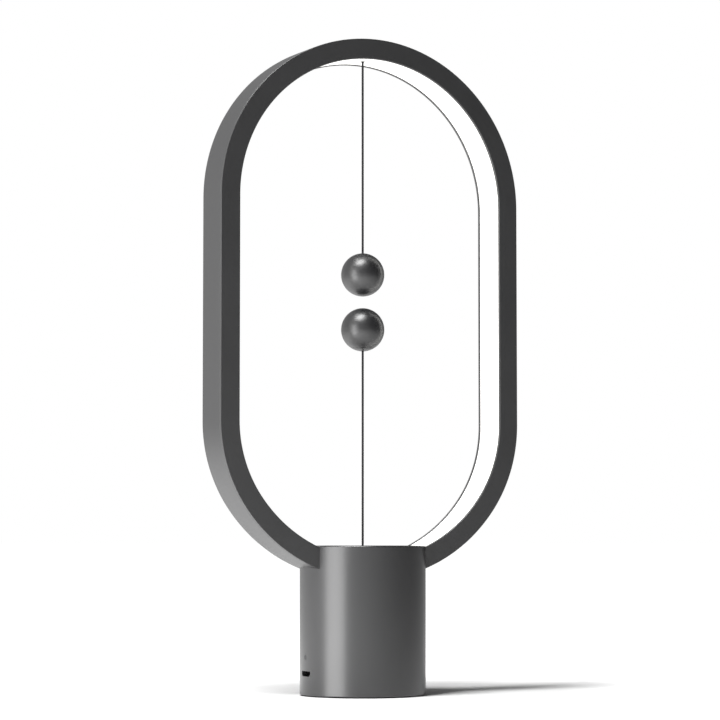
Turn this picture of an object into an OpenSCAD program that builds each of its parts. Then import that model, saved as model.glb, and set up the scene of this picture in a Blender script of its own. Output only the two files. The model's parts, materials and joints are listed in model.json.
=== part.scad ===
// Magnetic balance lamp: a light ring on a round base, with two magnet balls
// that float apart in its middle. Lifting the lower ball pulls a switch in the base.
// Millimetres. Origin at the middle of the base's foot, +Z up, -Y to the front.

/* [Ring] */
// Overall height of the lamp
frame_height = 240; // [230:1:256]
// Overall width of the ring
frame_width = 120; // [114:1:132]
// Depth of the ring from front to back
frame_depth = 17; // [15.5:0.5:19]
// Width of the ring's band, seen from the front
frame_band = 7.4; // [7:0.1:8.4]
// How much shallower than a half circle the lower bend is
bend_flattening = 3; // [2:0.1:4]
// How much smaller the radius of the lower bend's sides is than half the width
bend_side_step = 6; // [5.5:0.1:8]
// Depth of the ring's lowest point below the top of the base
ring_sink = 12.3; // [11.8:0.1:13.5]

/* [Ring walls] */
// Wall round the outside of the ring
outer_wall = 1.6; // [1.2:0.1:1.9]
// Wall of the ring's back
rear_wall = 1.2; // [1:0.1:1.5]
// Wall of the ring's front
front_wall = 1.2; // [1:0.1:1.5]
// Thickness of the locating rib and of the ledge that the diffuser stands on
ledge_width = 1; // [0.8:0.1:1.2]
// Depth of the locating rib and of the ledge
ledge_depth = 1.5; // [1.2:0.1:1.7]
// Wall of the opal diffuser
diffuser_wall = 1.2; // [0.9:0.1:1.4]
// How far the diffuser lies behind the lips of the ring
diffuser_recess = 0.3; // [0.1:0.1:0.5]
// Thickness of the diffuser's two legs
diffuser_leg = 1; // [0.8:0.1:1.2]

/* [Light] */
// Width of the light strip
strip_width = 9; // [7:0.5:10]
// Thickness of the light strip
strip_thickness = 0.3; // [0.2:0.05:0.4]
// Length of one light along the strip
led_length = 3.5; // [2.8:0.1:4]
// Width of one light across the strip
led_width = 2.8; // [2:0.1:3.5]
// Height of one light
led_height = 0.8; // [0.6:0.1:1]
// Distance from light to light
led_pitch = 13.4; // [10:0.2:18]

/* [Base] */
// Diameter of the base
base_diameter = 46; // [45:0.2:50]
// Height of the base above the table
base_height = 54.4; // [53.8:0.2:60]
// Wall of the base tube
base_wall = 1.8; // [1.5:0.1:2]
// Rounding of the base's top edge
top_round = 0.6; // [0.3:0.1:1]
// Rounding of the base's bottom edge
bottom_round = 0.7; // [0.4:0.1:1.2]
// Thickness of the cap in the top of the base
cap_thickness = 2.4; // [2:0.1:3]
// Radius of the cap's screw posts
cap_post_radius = 2.2; // [2:0.1:2.4]

/* [Underside] */
// Thickness of the rubber foot
foot_thickness = 1.4; // [1.2:0.1:1.8]
// How far the foot stands out below the base
foot_proud = 0.4; // [0.3:0.1:0.8]
// Width of the bottom cover's rim round the rubber foot
foot_margin = 1.3; // [0.9:0.1:1.5]
// Thickness of the bottom cover
cover_thickness = 2.6; // [2.4:0.1:2.8]
// Distance of the bottom cover's screws from the inside of the tube
cover_screw_margin = 3.4; // [3.2:0.1:3.8]
// Radius of the screw posts on the base tube
post_radius = 2.4; // [2:0.1:2.6]
// Height of the screw posts on the base tube
post_height = 9; // [8.4:0.1:10]
// Thickness of the steel ballast disc
ballast_thickness = 2.3; // [1.8:0.1:2.5]

/* [Balls and cords] */
// Diameter of a ball
ball_diameter = 15.9; // [15.4:0.1:18]
// Free gap between the two balls
ball_gap = 4.35; // [3:0.05:8]
// Height of the middle of the gap above the table
float_height = 143.6; // [135:0.2:150]
// Diameter of the cords
cord_diameter = 0.8; // [0.6:0.05:1]
// Diameter of a ball's magnet
magnet_diameter = 8; // [7:0.1:8.4]
// Height of a ball's magnet
magnet_height = 6; // [5:0.1:6.2]
// Thickness of the ball over the middle of its magnet
magnet_cover = 1.75; // [1.7:0.05:2]
// Distance from a ball's middle to the inner face of its cap
ball_cap_seat = 3.4; // [3.2:0.1:4]
// Diameter of a cord's knot
knot_diameter = 1.8; // [1.5:0.1:2]
// Diameter of the cord at the point where it bends
bend_diameter = 0.96; // [0.8:0.02:1.1]

/* [Eyelet and ferrule] */
// Depth of the eyelet in the base's cap
eyelet_depth = 4.2; // [4:0.1:4.4]
// Radius of the eyelet's barrel
eyelet_radius = 4.4; // [4:0.1:5]
// Radius of the eyelet's rim
eyelet_rim_radius = 5; // [4.8:0.1:6]
// Thickness of the eyelet's rim
eyelet_rim = 0.6; // [0.4:0.1:0.8]
// Radius of the eyelet's mouth
eyelet_mouth = 3.4; // [3.2:0.1:3.8]
// Length of the narrow part of the eyelet
eyelet_throat = 0.8; // [0.6:0.1:1]
// Depth of the lower cord's bend below the top of the base
lower_bend_depth = 0.5; // [0.2:0.1:0.6]
// Radius of the ferrule's barrel in the diffuser
ferrule_radius = 1.5; // [1.2:0.1:2]
// Radius of the ferrule's flange
ferrule_flange_radius = 2.4; // [2.2:0.1:3]
// Thickness of the ferrule's flange
ferrule_flange = 0.6; // [0.4:0.1:0.8]
// Depth of the upper cord's bend below the diffuser
upper_bend_depth = 0.45; // [0.4:0.05:0.8]

/* [Saddle and switch] */
// How far the saddle reaches past the cap's screw posts
saddle_margin = 0.3; // [0.2:0.1:0.8]
// Thickness of the saddle's plate
saddle_plate = 2; // [1.8:0.1:2.4]
// Thickness of the saddle between its plate and the lowest point of the ring
saddle_web = 0.8; // [0.5:0.1:1.2]
// Thickness of the tab that the switch is screwed to
switch_tab = 1.9; // [1.5:0.1:2.2]
// Room between the switch's blades and the inside of the tube
switch_end_room = 2.9; // [2.5:0.1:3.1]
// Width of the switch
switch_width = 5.8; // [5.6:0.1:6.2]
// Height of the switch
switch_height = 6.5; // [6.3:0.1:6.8]
// Distance from the cords' axis to the near end of the switch
switch_start = 2.4; // [2.2:0.1:2.8]
// Distance from the far end of the switch to the lever's pin
lever_pin_inset = 0.8; // [0.7:0.1:1]
// Distance from the lever's pin to the switch's button
button_reach = 5; // [4.8:0.1:5.2]
// Thickness of the lever
lever_thickness = 0.3; // [0.2:0.05:0.35]
// Width of the lever
lever_width = 4; // [3.6:0.1:4.1]
// Diameter of the lever's pin
pin_diameter = 0.8; // [0.6:0.05:0.9]
// Diameter of the switch's button
button_diameter = 1.8; // [1.5:0.1:2]
// Length of the switch's button
button_length = 4; // [3.6:0.1:4.2]
// Diameter of the sleeve under the lever
crimp_diameter = 2.2; // [2:0.1:2.8]
// Length of the sleeve under the lever
crimp_length = 2; // [1.6:0.1:2.4]
// How far the lower cord moves down as the lamp goes off
pull_travel = 2; // [1.6:0.1:2.2]

/* [Electronics] */
// Height of the socket's middle above the table
usb_height = 8.2; // [8.1:0.1:8.6]
// Width of the socket's shell
usb_width = 7.5; // [7.4:0.1:7.6]
// Height of the socket's shell
usb_shell_height = 2.6; // [2.5:0.05:2.7]
// Length of the socket's shell
usb_length = 5.6; // [5.2:0.1:5.7]
// How far the socket's mouth lies behind the base's side
usb_setback = 2.4; // [2.2:0.1:2.6]
// Wall of the socket's shell
usb_wall = 0.3; // [0.25:0.05:0.35]
// Thickness of the main board
board_thickness = 1; // [0.8:0.1:1.1]
// Diameter of the battery cell
cell_diameter = 16.5; // [15:0.5:17]
// Room between each end of the battery cell and the inside of the tube
cell_end_room = 0.6; // [0.5:0.1:2]
// Room between the battery cell and the lower cord's end when the lamp is off
cell_head_room = 1.5; // [1:0.1:2.2]
// Distance of the cell's axis from the cords' axis
cell_shift = 3; // [2:0.1:3.2]
// Thickness of the cradle's floor under the cell
cradle_floor = 1.4; // [1.2:0.1:2]
// Height of the indicator light above the table
indicator_height = 14.1; // [13.5:0.1:15]
// Diameter of the indicator light's window
indicator_diameter = 1.6; // [1.2:0.1:2]
// Diameter of an insulated wire
wire_diameter = 1; // [0.8:0.1:1.2]

/* [Fasteners] */
// Diameter of every screw's thread
screw_diameter = 2; // [1.8:0.1:2]
// Diameter of every screw's head
screw_head_diameter = 3.5; // [3.2:0.1:3.6]
// Height of every screw's head
screw_head_height = 0.9; // [0.7:0.1:1]

/* [Fit] */
// Gap between fixed pieces that slide together at assembly
fit_gap = 0.1; // [0.05:0.01:0.15]
// Gap round a thread or a cord that is gripped
grip_gap = 0.03; // [0.02:0.01:0.05]
// Gap between a turning pin or button and its hole
running_gap = 0.05; // [0.03:0.01:0.08]
// Gap between a moving piece and the piece that stops or pushes it
contact_gap = 0.2; // [0.1:0.05:0.3]
// Gap round something that passes through a hole without touching it
pass_gap = 0.5; // [0.3:0.05:0.6]
// Gap between a screw post and the pieces beside it
post_gap = 0.4; // [0.3:0.05:0.5]

/* [Hidden] */
$fn = 96;

// One overrun serves all cuts
cut = 1;

// Outline of the ring: a half circle above, straight sides, a three-centred bend below
half_width = frame_width / 2;
side_radius = half_width - bend_side_step;
bend_drop = half_width - bend_flattening;
bend_radius = half_width + bend_flattening * bend_flattening / (2 * (bend_side_step - bend_flattening));
upper_centre = frame_height - half_width;
bend_low = base_height - ring_sink;
side_centre = bend_low + bend_drop;
bend_centre = bend_low + bend_radius;
bend_angle = atan2(bend_radius - bend_drop, bend_side_step);

// Layers of the ring, as distances in from its outline and from its middle plane
half_depth = frame_depth / 2;
front_inside = half_depth - front_wall;
rear_inside = half_depth - rear_wall;
rib_inset = outer_wall + fit_gap;
diffuser_face = frame_band - diffuser_recess;
diffuser_back = diffuser_face - diffuser_wall;
leg_inset = rib_inset + ledge_width + fit_gap;
strip_inset = outer_wall + grip_gap;
led_inset = strip_inset + strip_thickness + running_gap;

// Levels and radii of the base
base_radius = base_diameter / 2;
base_inside = base_radius - base_wall;
inner_radius = base_inside - fit_gap;
cover_top = foot_proud + cover_thickness;
foot_seat = foot_thickness;
foot_radius = inner_radius - foot_margin;
cover_screw_circle = base_inside - cover_screw_margin;
board_top = usb_height - usb_shell_height / 2;
board_bottom = board_top - board_thickness;
cap_bottom = base_height - cap_thickness;
plate_top = bend_low - saddle_web;
plate_bottom = plate_top - saddle_plate;
cover_post_angles = [0, 120, 240];
cap_screw_y = half_depth + fit_gap + cap_post_radius + post_gap;
cap_screw_x = sqrt(pow(inner_radius - cap_post_radius - post_gap, 2) - cap_screw_y * cap_screw_y);
saddle_length = 2 * (cap_screw_x + cap_post_radius + saddle_margin);
saddle_width = 2 * (cap_screw_y + cap_post_radius + saddle_margin);
cap_posts = [for (x = [-1, 1], y = [-1, 1]) [x * cap_screw_x, y * cap_screw_y]];

// Screws
screw_radius = screw_diameter / 2;
screw_head_radius = screw_head_diameter / 2;
pilot_radius = screw_radius + grip_gap;
clear_radius = screw_radius + fit_gap;
saddle_screw_length = 8;
cover_screw_length = 7.4;
board_screw_length = 3.2;
switch_screw_length = switch_width + switch_tab;
board_screw_margin = 3.7;
board_screw_gap = 3.6;
board_screw_angle = 60;
board_screw_circle = inner_radius - board_screw_margin;
board_screw_rear = base_radius - usb_setback - usb_length - board_screw_gap;

// Balls and cords
ball_radius = ball_diameter / 2;
upper_ball_centre = float_height + ball_gap / 2 + ball_radius;
lower_ball_centre = float_height - ball_gap / 2 - ball_radius;
cord_radius = cord_diameter / 2;
cord_hole_radius = cord_radius + pass_gap;
knot_radius = knot_diameter / 2;
bend_ball_radius = bend_diameter / 2;
bend_socket_radius = bend_ball_radius + grip_gap;
magnet_radius = magnet_diameter / 2;
upper_pivot = frame_height - diffuser_face - upper_bend_depth;
lower_pivot = base_height - lower_bend_depth;
ferrule_top = frame_height - diffuser_back + ferrule_flange;
anchor_knot = ferrule_top + fit_gap + knot_radius;
ball_knot = ball_cap_seat - fit_gap - knot_radius;
eyelet_bottom = base_height - eyelet_depth;

// Switch
terminal_length = 2.8;
terminal_width = 2;
terminal_thickness = 0.5;
terminal_pitch = 2;
terminal_first = 1.2;
switch_bottom = plate_bottom - switch_height;
switch_end = inner_radius - switch_end_room - terminal_length;
switch_length = switch_end - switch_start;
switch_hole_edge = 1.85;
switch_hole_end = 2.6;
switch_hole_pitch = switch_length - 2 * switch_hole_end;
pin_radius = pin_diameter / 2;
button_radius = button_diameter / 2;
lever_reach = switch_end - lever_pin_inset;
button_x = lever_reach - button_reach;
knuckle_wall = 0.35;
knuckle_radius = pin_radius + running_gap + knuckle_wall;
lever_level = switch_bottom - fit_gap - knuckle_radius;
lever_bottom = lever_level - lever_thickness / 2;
lever_overhang = 2.2;
lever_hole_radius = cord_radius + pass_gap - fit_gap;
ear_length = 1.7;
ear_width = 0.8;
button_top_space = 0.4;
crimp_top = lever_bottom - contact_gap;
crimp_bottom = crimp_top - crimp_length;
cord_tail = 0.3;

// Electronics. The socket's mouth is as wide as the inside of its shell, for the plug alone
port_width = usb_width - 2 * usb_wall + 2 * fit_gap;
port_height = usb_shell_height - 2 * usb_wall + 2 * fit_gap;
port_corner = 0.9;
port_inner_corner = port_corner - usb_wall / 2;
usb_mouth = base_radius - usb_setback;
tongue_height = 0.6;
tongue_width = 5.6;
tongue_short = 0.7;

// The cell keeps its diameter unless the base is too low for it
cell_room = crimp_bottom - cord_tail - pull_travel - cell_head_room - board_top - cradle_floor;
cell_radius = min(cell_diameter, cell_room) / 2;
cell_end_reach = sqrt(inner_radius * inner_radius - pow(cell_shift + cell_radius, 2));
cell_length = 2 * (cell_end_reach - cell_end_room);
cell_level = board_top + cradle_floor + cell_radius;
cell_nub = 0.6;
cell_nub_radius = 2.5;
cradle_width = 14.4;
cradle_end = 6;
cradle_length = cell_length - 2 * cradle_end;
cradle_left = cell_shift - cradle_width / 2;
cradle_rib = 3;
cradle_rise = 3.4;
tab_thickness = 0.25;
tab_width = 3.6;
tab_rise = 3;
board_edge = 0.6;
standoff_radius = 2;
chip_gap = 6.7;
chip_post_gap = 5.4;
chip_size = [4, 4, 1.6];
chip_at = [cradle_left - chip_gap, cover_screw_circle * sin(cover_post_angles[1]) - chip_post_gap];
coil_size = [4, 4, 1];
coil_radius = 1.8;
coil_height = 2.4;
coil_at = [chip_at.x, -chip_at.y];
capacitor_size = [1.6, 0.8, 0.8];
capacitor_gap = 2.8;
capacitor_first = 5.2;
capacitor_pitch = 2.2;
lens_radius = indicator_diameter / 2;
lens_length = 5.2;
lens_end = base_radius - lens_length;
lens_flange = 0.8;
lens_flange_radius = 1.4;
indicator_led_radius = 1;
indicator_led_length = 3;
lead_radius = 0.25;
lead_spread = 0.6;
lead_bend = 0.5;
lead_x = lens_end - fit_gap - indicator_led_length - lead_bend;
wire_radius = wire_diameter / 2;
led_wire_x = 8;
led_wire_y = 3;
switch_wire_inset = 1;
switch_wire_x = switch_end + terminal_length - switch_wire_inset;
switch_wire_y = 4;

// The rest of the small sizes
web_width = 1.6;
edge_gap = 0.5;
counterbore_gap = 0.2;
lip_gap = 0.2;

// Height of the ring's lower bend at a distance from the middle, some way in from its outline
function bend_level(x, inset = 0) = bend_centre - sqrt(pow(bend_radius - inset, 2) - x * x);

// Area inside the ring's outline, drawn in from it by an inset
module ring_area(inset = 0) {
    reach = 2 * bend_radius;
    translate([0, upper_centre]) circle(r = half_width - inset, $fn = 180);
    translate([inset - half_width, side_centre])
        square([2 * (half_width - inset), upper_centre - side_centre]);
    for (side = [-1, 1])
        translate([side * bend_side_step, side_centre]) circle(r = side_radius - inset, $fn = 180);
    intersection() {
        translate([0, bend_centre]) circle(r = bend_radius - inset, $fn = 180);
        polygon([
            [0, bend_centre],
            [reach * cos(bend_angle), bend_centre - reach * sin(bend_angle)],
            [0, bend_centre - reach],
            [-reach * cos(bend_angle), bend_centre - reach * sin(bend_angle)]
        ]);
    }
}

// A drawing in the ring's plane, made solid between two depths
module slab(front, back) {
    translate([0, back, 0]) rotate([90, 0, 0]) linear_extrude(back - front) children();
}

// One layer of the ring, between two insets and two depths
module ring_layer(outer, inner, front, back) {
    slab(front, back) difference() {
        ring_area(outer);
        ring_area(inner);
    }
}

// A round hole straight down through the ring's lower bend or its top
module cord_bore(radius, from, to) {
    translate([0, 0, from]) cylinder(r = radius, h = to - from);
}

module rod(from, to, radius) {
    run = to - from;
    length = norm(run);
    translate(from)
        rotate([0, acos(run.z / length), atan2(run.y, run.x)])
            cylinder(r = radius, h = length, $fn = 24);
}

// A wire along its corner points, with round corners
module wire(points) {
    for (i = [1 : len(points) - 1]) rod(points[i - 1], points[i], wire_radius);
    for (i = [1 : 1 : len(points) - 2]) translate(points[i]) sphere(r = wire_radius, $fn = 24);
}

// A screw with its head's underside at the origin and its shank along +Z
module screw(length) {
    translate([0, 0, -screw_head_height])
        cylinder(r = screw_head_radius, h = screw_head_height, $fn = 32);
    cylinder(r = screw_radius, h = length, $fn = 32);
}

// Ring

module frame_rear_shell() {
    color([0.25, 0.25, 0.26]) difference() {
        union() {
            ring_layer(0, outer_wall, -front_inside, half_depth);
            ring_layer(0, frame_band, rear_inside, half_depth);
            ring_layer(0, outer_wall + ledge_width, rear_inside - ledge_depth, half_depth);
        }
        cord_bore(cord_hole_radius, bend_low - cut, bend_low + outer_wall + ledge_width);
        led_wire_bores(bend_low - cut, bend_low + frame_band - diffuser_wall - cut);
    }
}

module frame_front_bezel() {
    color([0.25, 0.25, 0.26]) {
        ring_layer(0, frame_band, -half_depth, -front_inside);
        ring_layer(rib_inset, rib_inset + ledge_width, -front_inside, ledge_depth - front_inside);
    }
}

module diffuser() {
    side = rear_inside - fit_gap / 2;
    front = front_inside - fit_gap / 2;
    color([0.97, 0.97, 0.95]) difference() {
        union() {
            ring_layer(diffuser_back, diffuser_face, -front, side);
            ring_layer(leg_inset, diffuser_face, -front, diffuser_leg - front);
            ring_layer(leg_inset, diffuser_face, side - diffuser_leg, side);
        }
        cord_bore(cord_hole_radius, bend_low + leg_inset, bend_low + frame_band);
        cord_bore(ferrule_radius + grip_gap, frame_height - frame_band, frame_height - leg_inset);
    }
}

module led_strip() {
    color([0.9, 0.88, 0.8]) difference() {
        ring_layer(strip_inset, strip_inset + strip_thickness, -strip_width / 2, strip_width / 2);
        cord_bore(cord_hole_radius, bend_low, bend_low + leg_inset);
    }
}

// One light on an arc about the origin
module arc_light(angle, radius) {
    rotate(angle) translate([radius - led_height, -led_length / 2]) square([led_height, led_length]);
}

module leds() {
    straight = upper_centre - side_centre;
    side_count = floor(straight / led_pitch);
    top_count = floor(PI * half_width / led_pitch);
    bend_count = floor(bend_angle * PI / 180 * side_radius / led_pitch);
    bend_step = led_pitch / bend_radius * 180 / PI;
    clear_x = base_radius + led_length;
    color([0.98, 0.93, 0.6]) slab(-led_width / 2, led_width / 2) {
        for (i = [0 : top_count - 1])
            translate([0, upper_centre]) arc_light((i + 0.5) * 180 / top_count, half_width - led_inset);
        for (side = [0, 1], i = [0 : side_count - 1]) mirror([side, 0])
            translate([0, side_centre + (i + 0.5) * straight / side_count])
                arc_light(0, half_width - led_inset);
        for (side = [0, 1], i = [0 : bend_count - 1]) mirror([side, 0])
            translate([bend_side_step, side_centre])
                arc_light(-(i + 0.5) * bend_angle / bend_count, side_radius - led_inset);
        for (side = [0, 1], angle = [bend_angle + bend_step / 2 : bend_step : 90])
            if (bend_radius * cos(angle) > clear_x) mirror([side, 0])
                translate([0, bend_centre]) arc_light(-angle, bend_radius - led_inset);
    }
}

// Balls and cords

module cord_ferrule() {
    face = frame_height - diffuser_face;
    back = frame_height - diffuser_back;
    color([0.95, 0.95, 0.93]) difference() {
        union() {
            translate([0, 0, face]) cylinder(r = ferrule_radius, h = back - face);
            translate([0, 0, back]) cylinder(r = ferrule_flange_radius, h = ferrule_flange);
        }
        cord_bore(cord_radius + grip_gap, face - cut, ferrule_top + cut);
        translate([0, 0, face])
            cylinder(r1 = bend_socket_radius + fit_gap, r2 = cord_radius, h = upper_bend_depth);
    }
}

// A straight stretch of cord that ends in a socket round its bend
module cord_run(from, to, pivot) {
    difference() {
        translate([0, 0, from]) cylinder(r = cord_radius, h = to - from, $fn = 32);
        translate([0, 0, pivot]) sphere(r = bend_socket_radius, $fn = 48);
    }
}

module knot_at(level) {
    translate([0, 0, level]) sphere(r = knot_radius, $fn = 48);
}

module upper_cord_anchor() {
    color([0.42, 0.42, 0.42]) {
        cord_run(upper_pivot, anchor_knot, upper_pivot);
        knot_at(anchor_knot);
    }
}

module upper_cord_bend() {
    color([0.42, 0.42, 0.42]) translate([0, 0, upper_pivot]) sphere(r = bend_ball_radius, $fn = 48);
}

module upper_cord() {
    color([0.42, 0.42, 0.42]) {
        cord_run(upper_ball_centre + ball_knot, upper_pivot, upper_pivot);
        knot_at(upper_ball_centre + ball_knot);
    }
}

module lower_cord_bend() {
    color([0.42, 0.42, 0.42]) translate([0, 0, lower_pivot]) sphere(r = bend_ball_radius, $fn = 48);
}

module lower_cord() {
    color([0.42, 0.42, 0.42]) {
        cord_run(lower_pivot, lower_ball_centre - ball_knot, lower_pivot);
        knot_at(lower_ball_centre - ball_knot);
    }
}

module pull_cord() {
    color([0.42, 0.42, 0.42]) cord_run(crimp_bottom - cord_tail, lower_pivot, lower_pivot);
}

module pull_cord_crimp() {
    color([0.75, 0.75, 0.76]) difference() {
        translate([0, 0, crimp_bottom]) cylinder(r = crimp_diameter / 2, h = crimp_length, $fn = 48);
        translate([0, 0, crimp_bottom - cut])
            cylinder(r = cord_radius + grip_gap, h = crimp_length + 2 * cut, $fn = 32);
    }
}

// The parts of a ball about its middle, with the cord leaving it along +Z
module ball_shell() {
    color([0.28, 0.28, 0.29]) difference() {
        sphere(r = ball_radius, $fn = 120);
        translate([0, 0, magnet_cover - ball_radius])
            cylinder(r = magnet_radius + running_gap, h = 2 * ball_radius);
    }
}

module ball_magnet() {
    color([0.72, 0.72, 0.74]) translate([0, 0, magnet_cover - ball_radius])
        cylinder(r = magnet_radius, h = magnet_height);
}

module ball_cap() {
    color([0.28, 0.28, 0.29]) difference() {
        intersection() {
            sphere(r = ball_radius, $fn = 120);
            translate([0, 0, ball_cap_seat]) cylinder(r = magnet_radius, h = ball_radius);
        }
        cylinder(r = cord_radius + grip_gap, h = ball_radius + cut);
    }
}

module upper_ball_shell() translate([0, 0, upper_ball_centre]) ball_shell();
module upper_ball_cap() translate([0, 0, upper_ball_centre]) ball_cap();
module upper_ball_magnet() translate([0, 0, upper_ball_centre]) ball_magnet();
module lower_ball_shell() translate([0, 0, lower_ball_centre]) mirror([0, 0, 1]) ball_shell();
module lower_ball_cap() translate([0, 0, lower_ball_centre]) mirror([0, 0, 1]) ball_cap();
module lower_ball_magnet() translate([0, 0, lower_ball_centre]) mirror([0, 0, 1]) ball_magnet();

// Base

// Section of the base tube, with its two rounded edges
module tube_section() {
    difference() {
        translate([base_inside, foot_proud]) square([base_wall, base_height - foot_proud]);
        translate([base_radius - top_round, base_height - top_round]) round_off(top_round);
        translate([base_radius - bottom_round, foot_proud + bottom_round]) mirror([0, 1])
            round_off(bottom_round);
    }
}

// What a round of some radius takes off the corner of a section
module round_off(radius) {
    difference() {
        square(radius + cut);
        circle(r = radius);
    }
}

// Posts in the tube that the bottom cover is screwed to, each with a web to the wall
module cover_posts() {
    for (angle = cover_post_angles) rotate(angle) translate([cover_screw_circle, 0, cover_top]) {
        cylinder(r = post_radius, h = post_height, $fn = 48);
        translate([0, -web_width / 2, 0])
            cube([base_inside + base_wall / 2 - cover_screw_circle, web_width, post_height]);
    }
}

// Room for the posts and their webs in a disc that lies between them
module post_notches() {
    notch_radius = post_radius + post_gap;
    for (angle = cover_post_angles) rotate(angle) translate([cover_screw_circle, 0]) {
        circle(r = notch_radius, $fn = 48);
        translate([0, -web_width / 2 - post_gap])
            square([base_radius - cover_screw_circle, web_width + 2 * post_gap]);
    }
}

// Outline of the socket's mouth: a rectangle with its two lower corners cut off
module port_outline(width, height, corner) {
    polygon([
        [-width / 2, height / 2], [width / 2, height / 2],
        [width / 2, corner - height / 2], [width / 2 - corner, -height / 2],
        [corner - width / 2, -height / 2], [-width / 2, corner - height / 2]
    ]);
}

// A drawing on the base's left side, made solid from one distance from the axis to another
module left_side(near, far) {
    translate([-far, 0, 0]) rotate([90, 0, 90]) linear_extrude(far - near) children();
}

module base_shell() {
    color([0.3, 0.3, 0.31]) difference() {
        union() {
            rotate_extrude($fn = 180) tube_section();
            cover_posts();
        }
        slab(-half_depth - fit_gap, half_depth + fit_gap) ring_area(-fit_gap);
        for (angle = cover_post_angles) rotate(angle)
            translate([cover_screw_circle, 0, cover_top - cut])
            cylinder(r = pilot_radius, h = cover_screw_length + cut, $fn = 32);
        left_side(cover_screw_circle, base_radius + cut) translate([0, usb_height])
            port_outline(port_width, port_height, port_inner_corner);
        left_side(cover_screw_circle, base_radius + cut) translate([0, indicator_height])
            circle(r = lens_radius + fit_gap, $fn = 32);
    }
}

module base_top_cap() {
    arch = bend_low + frame_band;
    color([0.27, 0.27, 0.28]) difference() {
        union() {
            translate([0, 0, cap_bottom]) cylinder(r = inner_radius, h = cap_thickness, $fn = 180);
            intersection() {
                translate([0, 0, arch]) cylinder(r = inner_radius, h = base_height - arch, $fn = 180);
                translate([-base_radius, -half_depth, arch])
                    cube([base_diameter, frame_depth, base_height - arch]);
            }
            for (post = cap_posts) translate([post.x, post.y, plate_top])
                cylinder(r = cap_post_radius, h = cap_bottom + cap_thickness / 2 - plate_top, $fn = 48);
        }
        slab(-half_depth - fit_gap, half_depth + fit_gap) difference() {
            ring_area(-fit_gap);
            ring_area(frame_band + fit_gap);
        }
        for (post = cap_posts) translate([post.x, post.y, plate_top - cut])
            cylinder(r = pilot_radius, h = saddle_screw_length, $fn = 32);
        translate([0, 0, arch - cut]) cylinder(r = cord_hole_radius, h = base_height, $fn = 48);
        translate([0, 0, eyelet_bottom]) cylinder(r = eyelet_radius + grip_gap, h = eyelet_depth + cut);
        translate([0, 0, base_height - eyelet_rim])
            cylinder(r = eyelet_rim_radius + grip_gap, h = eyelet_rim + cut);
    }
}

module cord_eyelet() {
    funnel = eyelet_depth - eyelet_throat;
    throat = cord_radius + contact_gap;
    color([0.8, 0.8, 0.82]) difference() {
        union() {
            translate([0, 0, eyelet_bottom]) cylinder(r = eyelet_radius, h = eyelet_depth);
            translate([0, 0, base_height - eyelet_rim]) cylinder(r = eyelet_rim_radius, h = eyelet_rim);
        }
        translate([0, 0, eyelet_bottom - cut]) cylinder(r = throat, h = eyelet_throat + 2 * cut);
        translate([0, 0, eyelet_bottom + eyelet_throat])
            cylinder(r1 = throat, r2 = eyelet_mouth, h = funnel);
    }
}

module ring_saddle() {
    block = bend_level(saddle_length / 2) - plate_top;
    tab_start = switch_start + switch_hole_end - screw_head_radius;
    tab_length = switch_hole_pitch + 2 * screw_head_radius;
    color([0.32, 0.32, 0.33]) difference() {
        union() {
            intersection() {
                translate([-saddle_length / 2, -saddle_width / 2, plate_bottom])
                    cube([saddle_length, saddle_width, saddle_plate]);
                translate([0, 0, plate_bottom])
                    cylinder(r = inner_radius - edge_gap, h = saddle_plate, $fn = 180);
            }
            translate([-saddle_length / 2, -half_depth, plate_top])
                cube([saddle_length, frame_depth, block]);
            translate([tab_start, switch_width / 2, plate_bottom - 2 * switch_hole_edge])
                cube([tab_length, switch_tab, 2 * switch_hole_edge + saddle_plate / 2]);
        }
        slab(-half_depth - cut, half_depth + cut) ring_area(-grip_gap);
        for (post = cap_posts) translate([post.x, post.y, plate_bottom - cut])
            cylinder(r = clear_radius, h = saddle_plate + 2 * cut, $fn = 32);
        translate([0, 0, plate_bottom - cut]) cylinder(r = cord_hole_radius, h = saddle_plate + block);
        led_wire_bores(plate_bottom - cut, bend_low + outer_wall);
        switch_bores(switch_width / 2 - cut, switch_width / 2 + switch_tab + cut, pilot_radius);
    }
}

module led_wire_bores(from, to) {
    for (side = [-1, 1]) translate([-led_wire_x, side * led_wire_y, from])
        cylinder(r = wire_radius + contact_gap, h = to - from, $fn = 32);
}

// Places of the switch's two screws
module at_switch_screws() {
    for (i = [0, 1])
        translate([switch_start + switch_hole_end + i * switch_hole_pitch, 0, plate_bottom - switch_hole_edge])
            children();
}

module switch_bores(front, back, radius) {
    at_switch_screws() translate([0, back, 0]) rotate([90, 0, 0])
        cylinder(r = radius, h = back - front, $fn = 32);
}

module saddle_screws() {
    color([0.7, 0.7, 0.72]) for (post = cap_posts) translate([post.x, post.y, plate_bottom])
        screw(saddle_screw_length);
}

// Underside

module base_bottom_cover() {
    web = foot_seat + screw_head_height;
    color([0.25, 0.25, 0.26]) difference() {
        union() {
            translate([0, 0, foot_proud]) cylinder(r = inner_radius, h = cover_thickness, $fn = 180);
            at_board_screws(cover_top)
                cylinder(r = standoff_radius, h = board_bottom - cover_top, $fn = 48);
        }
        translate([0, 0, foot_proud - cut])
            cylinder(r = foot_radius + lip_gap, h = foot_seat - foot_proud + cut, $fn = 180);
        for (angle = cover_post_angles) rotate(angle) translate([cover_screw_circle, 0, 0]) {
            cylinder(r = clear_radius, h = cover_top + cut, $fn = 32);
            cylinder(r = screw_head_radius + counterbore_gap, h = web, $fn = 48);
        }
        at_board_screws(web) cylinder(r = pilot_radius, h = board_top - web, $fn = 32);
    }
}

module cover_screws() {
    color([0.7, 0.7, 0.72]) for (angle = cover_post_angles)
        rotate(angle) translate([cover_screw_circle, 0, foot_seat + screw_head_height])
            screw(cover_screw_length);
}

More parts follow.
